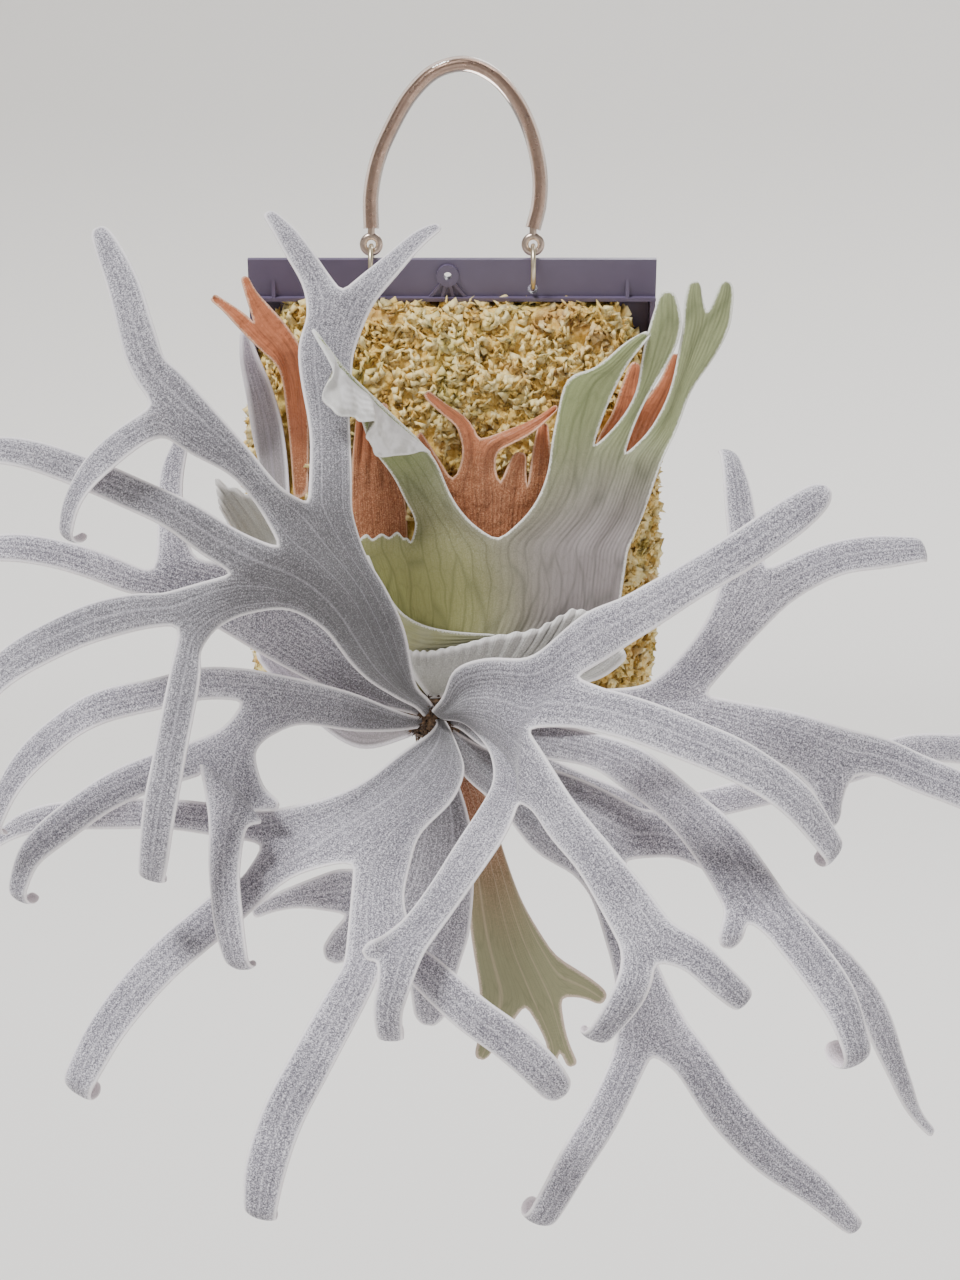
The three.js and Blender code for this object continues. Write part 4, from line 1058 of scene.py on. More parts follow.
    def _grow_kids(self, part: Palm | Strip, row: Row) -> None:
        """Grows each kid from its slice of a part's last row.

        Args:
            part: A palm or a strip.
            row: Its last row.
        """
        first = 0
        for kid in part.kids:
            last = first + len(self.lines(kid)) - 1
            piece = slice(first, last + 1)
            grow = self._strip if isinstance(kid, Strip) else self._palm
            grow(kid, Row(row.numbers[piece], row.fans[piece], row.along))
            first = last


# Leaves: finishes


class Tone(Enum):
    """Where a leaf takes on its finish's second colour."""

    FOOT = "near the bud"
    LOWER_LEFT = "at the lower left"
    TIPS = "high up on the mound"
    END = "toward the leaf's end"


@dataclass(frozen=True)
class LeafFinish(Finish):
    """A leaf's finish: a matt skin under a felt of star-shaped hairs.

    The hairs give a fine speckle of light on dark, lighter toward the margins, partly as the hairs are
    thicker there and partly as painted shade on a lobe's middle; a pale rim at the edge, partly where they
    stand out and partly painted rim light; and a pale underside where a sheet is turned over. They are about
    0.3 mm across, which is too fine to show, so the speckle is drawn nearly twice as coarse. Parallel veins
    run out along each lobe as pale lines, dark on a dry shield, where they are partly painted crease shade;
    the shields have a net of darker veins and, when dry, a crinkled face.
    """

    name: str
    dark: str
    middle: str
    light: str
    second: str
    vein: str
    rim: str
    under: str
    speckle_mm: float = 0.55
    cloud_mm: float = 40.0
    sway_mm: float = 20.0
    wear_mm: float = 7.0
    spread: float = 0.13
    centre: float = 0.52
    # Lightens the hairs within margin_mm of the edge: partly thicker hairs, partly painted shade that
    # darkens a lobe's middle
    margin: float = 0.13
    margin_mm: float = 5.0
    right: str | None = None
    right_fan: tuple[float, float] = (0.35, 0.85)
    right_mm: tuple[float, float] = (90.0, 160.0)
    tips: str = "#8c9962"
    tips_mm: tuple[float, float] = (95.0, 165.0)
    ribs: float = 0.3
    rib_edges: tuple[float, float] = (0.02, 0.16)
    net: float = 0.0
    net_columns: float = 26.0
    net_mm: float = 22.0
    net_shade: str = "#9ea49c"
    # Darkens the hairs toward the foot: partly fewer hairs, partly painted shade near the crown
    foot_wear_and_shade: float = 0.0
    turned: float = 0.6
    crinkle_mm: float = 0.0
    rim_mm: float = 1.0
    ragged_mm: float = 0.3
    roughness: float = 0.78
    sheen: float = 0.3
    bump: float = 0.35
    hair_mm: float = 0.35
    ridge_mm: float = 0.25
    crumple_mm: float = 2.5

    def shade(self, tree: NodeTree, place_on: NodeSocket) -> NodeSocket:
        """Adds the finish's own nodes.

        Args:
            tree: The material's node tree.
            place_on: The place on the object, in metres.

        Returns:
            The shader.
        """
        rib, fan, along, rim, tone, under = (
            put(tree, "ShaderNodeAttribute", out="Fac", attribute_name=name)
            for name in ("rib", "fan", "along", "rim", "tone", "under")
        )
        sizes = [
            (self.speckle_mm, 1.0, 0.5), (self.cloud_mm, 2.0, 0.55), (self.sway_mm, 1.0, 0.55),
            (self.wear_mm, 2.0, 0.55),
        ]
        if self.crinkle_mm:
            sizes.append((self.crinkle_mm, 3.0, 0.55))
        grain, cloud, sway, patchy, *crinkles = (
            put(tree, NOISE, {
                "Vector": place_on, "Scale": 1 / (size_mm * MM), "Detail": detail, "Roughness": rough,
            })
            for size_mm, detail, rough in sizes
        )
        # The cosine gives three ridges from a midrib to the next gap between lobes
        wave = put(tree, MATH, (rib, 3 * 2 * math.pi), operation="MULTIPLY")
        wave = put(tree, MATH, (wave,), operation="COSINE")
        hairs = grain
        # The hair level: a random cloud; darker toward the foot, partly fewer hairs and partly painted shade
        # near the crown; lighter near the rim, partly thicker hairs and partly painted shade that darkens a
        # lobe's middle; paler ridges over the veins
        for values in (
            (cloud, 0.3, 0.7, -0.03, 0.03),
            (tone, 0.0, 1.0, 0.0, -self.foot_wear_and_shade),
            (rim, 0.0, self.margin_mm * MM, self.margin, 0.0),
            (wave, 0.2, 1.0, 0.0, 0.3 * self.ribs),
        ):
            hairs = put(tree, MATH, (hairs, put(tree, RANGE, values, **EASED)), operation="ADD")
        skin = put(tree, RAMP, (hairs,), stops=(
            (self.centre - self.spread, self.dark), (self.centre, self.middle),
            (self.centre + self.spread, self.light),
        ))
        # Each midrib takes the vein colour: pale veins on the fronds; the dry finish's dark midribs are
        # partly painted crease shade
        midrib = put(tree, RANGE, (rib, *self.rib_edges, self.ribs, 0.0), **EASED)
        layers = [(tone, self.second), (midrib, self.vein)]
        if self.right:
            high = put(tree, RANGE, (along, *(way * MM for way in self.tips_mm), 0.0, 0.7), **EASED)
            low = put(tree, RANGE, (along, *(way * MM for way in self.right_mm), 0.85, 0.15), **EASED)
            right = put(tree, RANGE, (fan, *self.right_fan, 0.0, low), **EASED)
            layers = [(high, self.tips), (right, self.right), *layers]
        for share, colour in layers:
            skin = put(tree, MIX, {0: share, 6: skin, 7: linear(colour)}, **COLOUR_MIX)
        if self.net:
            share = self.veins(tree, fan, along, sway)
            inputs = {0: share, 6: skin, 7: linear(self.net_shade)}
            skin = put(tree, MIX, inputs, blend_type="MULTIPLY", **COLOUR_MIX)
        # A pale rim along every edge, ragged by the grain: partly the hairs' own white and partly painted
        # rim light
        torn = put(tree, RANGE, (grain, 0.3, 0.7, -self.ragged_mm * MM, self.ragged_mm * MM), **EASED)
        edge = put(tree, MATH, (rim, torn), operation="ADD")
        pale = put(tree, RANGE, (edge, 0.2 * self.rim_mm * MM, 1.6 * self.rim_mm * MM, 0.75, 0.0), **EASED)
        skin = put(tree, MIX, {0: pale, 6: skin, 7: linear(self.rim)}, **COLOUR_MIX)
        felt = put(tree, RANGE, (patchy, 0.35, 0.65, self.turned - 0.25, self.turned + 0.1), **EASED)
        back = put(tree, MIX, {0: felt, 6: skin, 7: linear(self.under)}, **COLOUR_MIX)
        skin = put(tree, MIX, {0: under, 6: skin, 7: back}, **COLOUR_MIX)
        relief = put(tree, BUMP, {"Height": grain, "Strength": self.bump, "Distance": self.hair_mm * MM})
        relief = put(tree, BUMP, {
            "Height": wave, "Strength": 0.3, "Distance": self.ridge_mm * MM, "Normal": relief,
        })
        for crinkle in crinkles:
            relief = put(tree, BUMP, {
                "Height": crinkle, "Strength": 0.8, "Distance": self.crumple_mm * MM, "Normal": relief,
            })
        return put(tree, PRINCIPLED, {
            "Base Color": skin, "Roughness": self.roughness, "IOR": 1.4, "Specular IOR Level": 0.25,
            "Sheen Weight": self.sheen, "Sheen Roughness": 0.4, "Normal": relief,
        })

    def veins(self, tree: NodeTree, fan: NodeSocket, along: NodeSocket, sway: NodeSocket) -> NodeSocket:
        """Draws the net: main veins that fan out from the foot, and a finer mesh between them.

        Args:
            tree: The material's node tree.
            fan: The mark of the place across the leaf.
            along: The mark of the way from its foot.
            sway: A noise that bends the veins.

        Returns:
            How strongly the net shows.
        """
        drawn = 0.0
        for columns, length_mm, width, strength in (
            (self.net_columns, self.net_mm, 0.1, self.net),
            (3.2 * self.net_columns, self.net_mm / 6, 0.14, 0.4 * self.net),
        ):
            across = put(tree, MATH, (fan, columns, sway), operation="MULTIPLY_ADD")
            onward = put(tree, MATH, (along, 1 / (length_mm * MM)), operation="MULTIPLY")
            laid = put(tree, "ShaderNodeCombineXYZ", (across, onward))
            cells = put(tree, "ShaderNodeTexVoronoi", {"Vector": laid, "Scale": 1.0, "Randomness": 0.7},
                        voronoi_dimensions="2D", feature="DISTANCE_TO_EDGE")
            lines = put(tree, RANGE, (cells, 0.0, width, strength, 0.0))
            drawn = put(tree, MATH, (drawn, lines), operation="MAXIMUM")
        return drawn


# Silver frond felt: lilac-grey skin, near-white hairs, greener at the foot where they are few, and darker
# there, partly from fewer hairs and partly as painted shade near the crown
FROND_FELT = LeafFinish(
    "frond_felt", "#5a5860", "#918e98", "#dfdce4", "#62625f", "#d2cfd8", "#fdf8fa", "#eadde2", spread=0.22,
    rim_mm=0.8, foot_wear_and_shade=0.1, margin=0.12, ribs=0.17,
)
# A dying frond: the hairs are worn off, the skin is red-brown at the foot and dull olive toward the tips
OLD_FROND = LeafFinish(
    "old_frond_felt", "#6b4634", "#8c5f47", "#b08a72", "#8f8e70", "#bfae96", "#dcc6b8", "#b09484",
    spread=0.2, ribs=0.4, net=0.25, margin=0.05, sheen=0.1,
)
# A living shield: satin skin with few hairs, olive-grey, lilac-grey at the right, yellow-green low on the
# left, greener at the tips, with dark branching veins
GREEN_SKIN = LeafFinish(
    "green_shield_skin", "#6b6750", "#807d65", "#949280", "#9fa063", "#8f8c78", "#f8f8f2", "#f2f1f3",
    right="#978f91", spread=0.3, ribs=0.0, net=0.42, net_columns=15.0, net_mm=75.0, roughness=0.5,
    sheen=0.12, bump=0.15, rim_mm=0.6, margin=0.1, turned=0.85,
)
# A young shield: thick white felt over pale green
YOUNG_FELT = LeafFinish(
    "young_shield_felt", "#94929a", "#bab7bb", "#e5e2e5", "#a2a394", "#c9c8c9", "#fffefd", "#dcdad8",
    ribs=0.1, net=0.2, net_columns=30.0, rim_mm=1.6, spread=0.28,
)
# A dead shield: papery, tan to red-brown, crinkled, its veins standing out darker; its dark midrib lines
# are partly the vein and partly painted crease shade
DRY_SKIN = LeafFinish(
    "dry_shield_skin", "#7a4a33", "#9c6648", "#c8926f", "#bd7452", "#713e2a", "#e6bea2", "#c08a6c",
    spread=0.3, net=0.4, net_columns=12.0, net_mm=60.0, rim_mm=0.5, roughness=0.42, sheen=0.05,
    margin=0.08, bump=0.15, crinkle_mm=7.0,
)
# An older shield: thin grey-lilac felt over a drying skin
GREY_SKIN = LeafFinish(
    "grey_shield_felt", "#716a78", "#968e9c", "#c2bbc7", "#918c88", "#aaa3b0", "#f4f0f6", "#ccc6ce",
    net=0.3, net_columns=12.0, net_mm=60.0, spread=0.25, rim_mm=1.4,
)


# Finishes of the other pieces


@dataclass(frozen=True)
class MossFinish(Finish):
    """Dried sphagnum: matt straw strands, darker tan at random, with patches of green and of brown."""

    name: str = "dried_moss"
    strand_mm: float = 2.2
    patch_mm: float = 17.0
    stops: tuple[tuple[float, str], ...] = (
        (0.2, "#8f6d33"), (0.36, "#cfa956"), (0.54, "#e8ca7c"), (0.8, "#f8e7ae"),
    )
    patches: tuple[tuple[float, float, float, str], ...] = (
        (0.55, 0.7, 0.5, "#9d9c4e"), (0.42, 0.3, 0.4, "#b58458"),
    )

    def shade(self, tree: NodeTree, place_on: NodeSocket) -> NodeSocket:
        """Adds the finish's own nodes.

        Args:
            tree: The material's node tree.
            place_on: The place on the object, in metres.

        Returns:
            The shader.
        """
        fine = put(tree, NOISE, {
            "Vector": place_on, "Scale": 1 / (self.strand_mm * MM), "Detail": 3.0, "Roughness": 0.6,
        })
        patch = put(tree, NOISE, {"Vector": place_on, "Scale": 1 / (self.patch_mm * MM), "Detail": 2.0})
        own = put(tree, "ShaderNodeAttribute", out="Fac", attribute_name="shade")
        level = put(tree, MATH, (fine, put(tree, RANGE, (own, 0.0, 1.0, -0.26, 0.26))), operation="ADD")
        skin = put(tree, RAMP, (level,), stops=self.stops)
        for low, high, most, colour in self.patches:
            share = put(tree, RANGE, (patch, low, high, 0.0, most))
            skin = put(tree, MIX, {0: share, 6: skin, 7: linear(colour)}, **COLOUR_MIX)
        return put(tree, PRINCIPLED, {
            "Base Color": skin, "Roughness": 0.9, "Specular IOR Level": 0.2, "Sheen Weight": 0.1,
            "Normal": put(tree, BUMP, {"Height": fine, "Strength": 0.6, "Distance": 0.6 * MM}),
        })


@dataclass(frozen=True)
class MottledFinish(Finish):
    """A finish whose colour and gloss follow a mottle, with a finer relief.

    The mottle is (size in mm, detail, roughness), and the gloss (from, to, roughness there and there). The
    relief is (size in mm, detail, strength, depth in mm), and the light other inputs of the shader.
    """

    name: str
    stops: tuple[tuple[float, str], ...]
    gloss: tuple[float, float, float, float]
    mottle: tuple[float, float, float]
    relief: tuple[float, float, float, float] | None = None
    light: tuple[tuple[str, float], ...] = ()

    def shade(self, tree: NodeTree, place_on: NodeSocket) -> NodeSocket:
        """Adds the finish's own nodes.

        Args:
            tree: The material's node tree.
            place_on: The place on the object, in metres.

        Returns:
            The shader.
        """
        size_mm, detail, rough = self.mottle
        mottle = put(tree, NOISE, {
            "Vector": place_on, "Scale": 1 / (size_mm * MM), "Detail": detail, "Roughness": rough,
        })
        inputs = dict(self.light)
        inputs["Base Color"] = put(tree, RAMP, (mottle,), stops=self.stops)
        inputs["Roughness"] = put(tree, RANGE, (mottle, *self.gloss))
        if self.relief:
            size_mm, detail, strength, depth_mm = self.relief
            grain = put(tree, NOISE, {"Vector": place_on, "Scale": 1 / (size_mm * MM), "Detail": detail})
            inputs["Normal"] = put(tree, BUMP, {
                "Height": grain, "Strength": strength, "Distance": depth_mm * MM,
            })
        return put(tree, PRINCIPLED, inputs)


# Injection-moulded plastic, dark violet-grey: satin, with paler scuffs. Its spark-eroded grain is too fine
# to show, so it is drawn at 0.6 mm
MOULDED_BOARD = MottledFinish(
    "moulded_board", ((0.35, "#5a5067"), (0.7, "#625870")), (0.3, 0.7, 0.3, 0.42), (30.0, 4.0, 0.6),
    (0.6, 2.0, 0.15, 0.1), (("IOR", 1.53),),
)
# Plated steel wire, warm from handling: bright, with dull spots
PLATED_WIRE = MottledFinish(
    "plated_wire", ((0.0, "#efe3cb"), (1.0, "#b9a98c")), (0.35, 0.7, 0.28, 0.43), (2.5, 3.0, 0.5),
    light=(("Metallic", 1.0),),
)
# The wire inside the tube: duller and browner
BRONZE_WIRE = MottledFinish(
    "bronze_wire", ((0.0, "#d6c1b4"), (1.0, "#a09184")), (0.35, 0.7, 0.26, 0.41), (2.5, 3.0, 0.5),
    light=(("Metallic", 1.0),),
)
# Clear soft vinyl tube: it bends the light, so the wire inside looks to fill most of it
CLEAR_TUBE = MottledFinish(
    "clear_tube", ((0.0, "#dccbc2"), (1.0, "#dccbc2")), (0.3, 0.7, 0.04, 0.16), (9.0, 2.0, 0.5),
    light=(("IOR", 1.52), ("Transmission Weight", 1.0)),
)
# The growing tip's scales: dry, papery and dark brown, mottled paler
CROWN_SCALES = MottledFinish(
    "crown_scales", ((0.35, "#2e2219"), (0.7, "#7d6044")), (0.0, 1.0, 0.75, 0.75), (1.5, 4.0, 0.5),
    (1.5, 4.0, 0.5, 0.4),
)
# Studio paper: pale and matt, with no mark of its own
PALE_PAPER = MottledFinish(
    "pale_paper", ((0.0, "#e3e1de"), (1.0, "#e3e1de")), (0.0, 1.0, 0.9, 0.9), (500.0, 0.0, 0.5),
    light=(("Specular IOR Level", 0.1),),
)


# Moss: the mound's height field, as in the part, with finer lumps


@dataclass
class MossMound:
    """The mound of moss on the board: a lumpy body, which the shields lie on."""

    half_width: float = 92.0
    top: float = 17.0
    bottom: float = 200.0
    shoulder: float = 173.0
    height: float = 84.0
    foot: float = 10.0
    seat: float = 0.4
    lump_reach: float = 2.5
    clump: float = 1.1
    corner: float = 70.0
    corner_narrows: float = 0.2
    head_start: float = 16.0
    lumps_from: float = 12.0
    columns: int = 150
    rows: int = 150

    @property
    def floor(self) -> float:
        """How far behind the rail the mound's floor lies, on the tray."""
        return TRAY_BACK - WALL - self.seat

    def half_width_at(self, down: float) -> float:
        """Gives half the mound's width at a place below the rail."""
        corner = clamp01((down - self.top) / self.corner)
        return self.half_width * (1 - self.corner_narrows * (1 - corner) ** 2)

    def height_at(self, x: float, down: float) -> float:
        """Gives the mound's smooth height over its foot.

        Args:
            x: To the right of the board's middle, in millimetres.
            down: Below the rail, in millimetres.

        Returns:
            The height, in millimetres.
        """
        side = clamp01(1 - abs(x / self.half_width_at(down)) ** 3) ** 0.45
        rise = clamp01((down - self.top + self.head_start) / (self.shoulder - self.top)) ** 0.85
        fall = clamp01((self.bottom - down) / (self.bottom - self.shoulder))
        return self.height * side * rise * math.sqrt(1 - (1 - fall) ** 2)

    @staticmethod
    def lumps_at(x: float, down: float) -> float:
        """Gives the lumps that stand on the smooth height: the part's own, and finer ones.

        Args:
            x: To the right of the board's middle, in millimetres.
            down: Below the rail, in millimetres.

        Returns:
            The height that the lumps add, in millimetres.
        """
        a = math.sin(x * 0.21 + math.sin(down * 0.13) * 1.7)
        b = math.sin(down * 0.24 + math.sin(x * 0.11) * 2.1)
        c = math.sin((x + down) * 0.37) * math.cos((x - down) * 0.31)
        d = math.sin(x * 0.83 + math.sin(down * 0.61) * 1.9) * math.sin(down * 0.91 + math.sin(x * 0.7))
        e = math.sin(x * 1.7 + down * 0.6) * math.sin(down * 1.9 - x * 0.5)
        return 1.4 * a * b + 1.1 * c + 0.4 * d + 0.25 * e - 0.5

    def roughen(self, mesh: Mesh) -> None:
        """Raises clumps of a few millimetres on the mound where it is open.

        Args:
            mesh: The mound's mesh, marked where it is open.
        """
        to_board = BOARD_TURN.inverted() @ TO_METRES.inverted()
        normals = [vertex.normal.copy() for vertex in mesh.vertices]
        for vertex, normal, share in zip(mesh.vertices, normals, mesh.attributes["open"].data):
            at = to_board @ vertex.co
            clump = math.sin(at.x * 0.55 + 2 * math.sin(at.z * 0.23)) * math.sin(at.z * 0.6 + at.x * 0.2)
            clump += math.sin(at.x * 1.05 + at.y * 0.4) * math.sin(at.z * 0.97 - 1.4 * math.sin(at.x * 0.31))
            vertex.co += normal * (share.value * clump * self.clump * MM)

    def drape(self, point: Vector, gap: float) -> Vector:
        """Lifts a point of the bud's frame clear of the moss.

        Args:
            point: The point, in millimetres.
            gap: The clearance out from the board, in millimetres.

        Returns:
            The point, in the bud's frame.
        """
        on_board = BUD_TURN @ point
        face = self.floor - self.foot - self.height_at(on_board.x, -on_board.z) - self.lump_reach
        on_board.y = min(on_board.y, face - gap)
        return BUD_TURN.inverted() @ on_board

    def mesh(self) -> Mesh:
        """Builds the mound's closed mesh.

        Returns:
            The mesh, in metres, in the part's frame.
        """
        half = BOARD_WIDTH / 2 - WALL - self.seat
        short = (BOARD_DROP - WALL - self.seat - self.top) / (self.bottom - self.top)
        face, back = [], []
        for i in range(self.rows + 1):
            down = self.top + (self.bottom - self.top) * (1 - (1 - i / self.rows) ** 1.35)
            width = self.half_width_at(down)
            for j in range(self.columns + 1):
                x = math.sin((j / self.columns - 0.5) * math.pi) * width
                height = self.height_at(x, down)
                lump = self.lumps_at(x, down) * clamp01(height / self.lumps_from)
                face.append((x, self.floor - self.foot - height - lump, -down))
                back.append((x * min(1.0, half / width), self.floor, -self.top - (down - self.top) * short))
        across, count = self.columns + 1, len(face)
        quads = []
        for i in range(self.rows):
            left = i * across
            right = left + self.columns
            for a in range(left, right):
                quads.append((a + across, a + across + 1, a + 1, a))
                quads.append((a + count, a + count + 1, a + count + across + 1, a + count + across))
            quads.append((left, left + count, left + count + across, left + across))
            quads.append((right + across, right + across + count, right + count, right))
        for j in range(self.columns):
            bottom = self.rows * across + j
            quads.append((j + 1, j + 1 + count, j + count, j))
            quads.append((bottom, bottom + count, bottom + count + 1, bottom + 1))
        points = [BOARD_FRAME @ Vector(point) for point in face + back]
        return mesh_of("moss_mound_body", points, quads)


# Leaves: from sheet to solid


@dataclass
class Leaf:
    """A frond or a shield: its layout, its finish, and how it lies.

    A shield lies on the moss, clear of it by the gap. The pleats are (count, depth), and each fold is one
    more sheet with how much of its underside is turned to the front.
    """

    node: str
    part: Palm
    finish: LeafFinish
    slot: str
    thick_mm: float = 1.5
    gap: float | None = None
    tone: Tone = Tone.FOOT
    pleats: tuple[int, float] | None = None
    folds: tuple[tuple[Palm, float], ...] = ()
    foot_mm: float = 115.0
    thinning_mm: float = 2.2
    round_mm: float = 0.35
    sample_mm: float = 0.5

    FOOT_MOST = 0.7
    PATCH_MOST = 0.85
    PATCH_FADE = 1.25
    PATCH_MIDDLE = (-26.0, 45.0)
    PATCH_HALF = (62.0, 46.0)
    END_FROM, END_OVER = 55.0, 60.0
    TIPS_FROM, TIPS_OVER = 105.0, 25.0
    PLEATS_FROM, PLEATS_OVER = 8.0, 32.0
    RUFFLE_WAVE = 1.9
    RUFFLE_END, RUFFLE_EASE = 58.0, 12.0
    RUFFLE_MOVE = (-1.3, -1.9, -1.1)

    def sheet(self, mound: MossMound) -> Mesh:
        """Builds the leaf's smooth middle surface.

        Args:
            mound: The mound that a shield lies on.

        Returns:
            The surface, in metres, with its marks.
        """
        whole = LeafSheet(self.part)
        points, faces, marks = whole.points, whole.faces, whole.marks
        if self.gap is not None:
            points = [mound.drape(point, self.gap) for point in points]
        if self.pleats:
            points = [point + self.pleat(*at) for point, *at in zip(points, *marks.values())]
        marks["turned"] = [0.0] * len(points)
        for part, turned in self.folds:
            fold = LeafSheet(part)
            faces += [tuple(v + len(points) for v in face) for face in fold.faces]
            ruffles = map(self.ruffle, fold.marks["fan"], fold.marks["along"])
            points += [point + ruffle * (turned == 1.0) for point, ruffle in zip(fold.points, ruffles)]
            fold.marks["turned"] = [turned] * len(fold.points)
            for name, values in fold.marks.items():
                marks[name] += values
        marks["tone"] = [self.tone_at(point, along) for point, along in zip(points, marks["along"])]
        marks["along"] = [value * MM for value in marks["along"]]
        mesh = mesh_of(self.node + "_sheet", [BUD_FRAME @ point for point in points], faces)
        for name, values in marks.items():
            mark(mesh, name, values)
        piece = add_object(self.node + "_sheet", mesh)
        piece.modifiers.new("finer", "SUBSURF").levels = 1
        smooth = baked(piece, self.node + "_smooth")
        sheet = smooth.data
        bpy.data.objects.remove(smooth, do_unlink=True)
        return sheet

    def pleat(self, rib: float, fan: float, along: float) -> Vector:
        """Gives how far a place stands out on the leaf's pleats, toward the viewer.

        Args:
            rib: The place between a midrib and the next.
            fan: Its place across the leaf.
            along: The way to it from the leaf's foot, in millimetres.

        Returns:
            The offset, in the bud's frame.
        """
        count, depth = self.pleats
        wave = math.sin(2 * math.pi * count * fan + 1.3 * math.sin(along / 13) + 2 * rib)
        wave += 0.35 * math.sin(along / 7 + 9 * fan)
        rise = smoothstep(clamp01((along - self.PLEATS_FROM) / self.PLEATS_OVER))
        return FACING * (depth * (0.6 + 0.5 * wave) * rise)

    def ruffle(self, fan: float, along: float) -> Vector:
        """Gives how far a place on the flap stands out, more toward its free edge.

        Args:
            fan: The place across the flap, 0 at its free edge.
            along: The way to it from the flap's foot, in millimetres.

        Returns:
            The offset, in the bud's frame.
        """
        wave = math.sin(along / self.RUFFLE_WAVE + 0.9 * math.sin(along / 6))
        ways = (along, self.RUFFLE_END - along)
        rise, fall = (smoothstep(clamp01(way / self.RUFFLE_EASE)) for way in ways)
        left, ahead, down = self.RUFFLE_MOVE
        return Vector((left * wave, ahead * (1 + wave), down * wave)) * ((1 - fan) * rise * fall)

    def tone_at(self, point: Vector, along: float) -> float:
        """Gives how much of the finish's second colour a place takes.

        Args:
            point: The place, in the bud's frame.
            along: The way to it from the leaf's foot, in millimetres.

        Returns:
            A share from 0 to 1.
        """
        if self.tone is Tone.FOOT:
            return self.FOOT_MOST * smoothstep(clamp01(1 - along / self.foot_mm))
        if self.tone is Tone.LOWER_LEFT:
            (x, z), (wide, high) = self.PATCH_MIDDLE, self.PATCH_HALF
            away = math.hypot((point.x - x) / wide, (point.z - z) / high)
            return self.PATCH_MOST * smoothstep(clamp01(self.PATCH_FADE - away))
        if self.tone is Tone.END:
            return smoothstep(clamp01((along - self.END_FROM) / self.END_OVER))
        return clamp01((point.z - self.TIPS_FROM) / self.TIPS_OVER)

    def solid(self, sheet: Mesh) -> Mesh:
        """Gives a sheet its thickness, thinner and rounded toward its rim.

        Args:
            sheet: The leaf's middle surface.

        Returns:
            The closed mesh, with its marks.
        """
        count = len(sheet.vertices)
        co = read(sheet.vertices, "co", 3)
        normals = read(sheet.vertex_normals, "vector", 3)
        faces = [tuple(polygon.vertices) for polygon in sheet.polygons]
        edges = dict.fromkeys(pair for face in faces for pair in zip(face, face[1:] + face[:1]))
        open_edges = [(a, b) for a, b in edges if (b, a) not in edges]
        rim = self._rim(co, open_edges)
        thickness = self.thick_mm * MM / 2 * (0.5 + 0.5 * np.minimum(1.0, rim / (self.thinning_mm * MM)))
        half = normals * thickness[:, None]
        outward = np.zeros_like(co)
        for a, b in open_edges:
            aside = np.cross(co[b] - co[a], normals[a] + normals[b])
            outward[[a, b]] += aside / max(np.linalg.norm(aside), TINY)
        outward /= np.maximum(np.linalg.norm(outward, axis=1, keepdims=True), TINY)
        edge = sorted({v for pair in open_edges for v in pair})
        middle = {v: 2 * count + k for k, v in enumerate(edge)}
        ring = co[edge] + outward[edge] * (self.round_mm * MM)
        quads = faces + [tuple(v + count for v in reversed(face)) for face in faces]
        for a, b in open_edges:
            quads += [(a, middle[a], middle[b], b), (middle[a], a + count, b + count, middle[b])]
        mesh = mesh_of(self.node + "_leaf", np.concatenate([co + half, co - half, ring]).tolist(), quads)
        marks = {"rim": rim}
        for name in ("rib", "fan", "along", "tone", "turned"):
            marks[name] = read(sheet.attributes[name].data, "value")
        turned = marks.pop("turned")
        mark(mesh, "under", np.concatenate([turned, 1 - turned, np.full(len(edge), 0.5)]))
        for name, values in marks.items():
            mark(mesh, name, np.concatenate([values, values, values[edge]]))
        return mesh

    def _rim(self, co: np.ndarray, open_edges: list[tuple[int, int]]) -> np.ndarray:
        """Gives each vertex's distance from the sheet's edge.

        Args:
            co: The sheet's vertices.
            open_edges: The edges that only one face has.

        Returns:
            The distances, in metres.
        """
        samples = []
        for a, b in open_edges:
            steps = max(1, int(np.linalg.norm(co[b] - co[a]) / (self.sample_mm * MM)))
            samples += [co[a] + (co[b] - co[a]) * (k / steps) for k in range(steps)]
        tree = KDTree(len(samples))
        for k, sample in enumerate(samples):
            tree.insert(sample, k)
        tree.balance()
        return np.array([tree.find(point)[2] for point in co])


# Frond A's darker foot reaches 330 mm up its long upright stem as painted shade; on the others it reaches
# 125 mm, partly fewer hairs and partly painted shade
FRONDS = [
    Leaf("frond_" + letter, part, FROND_FELT, "frond_felt", foot_mm=330.0 if letter == "a" else 125.0)
    for letter, part in zip("abcdefghij", (
        FROND_A, FROND_B, FROND_C, FROND_D, FROND_E, FROND_F, FROND_G, FROND_H, FROND_I, FROND_J,
    ))
] + [Leaf("frond_k", FROND_K, OLD_FROND, "old_frond", tone=Tone.END)]

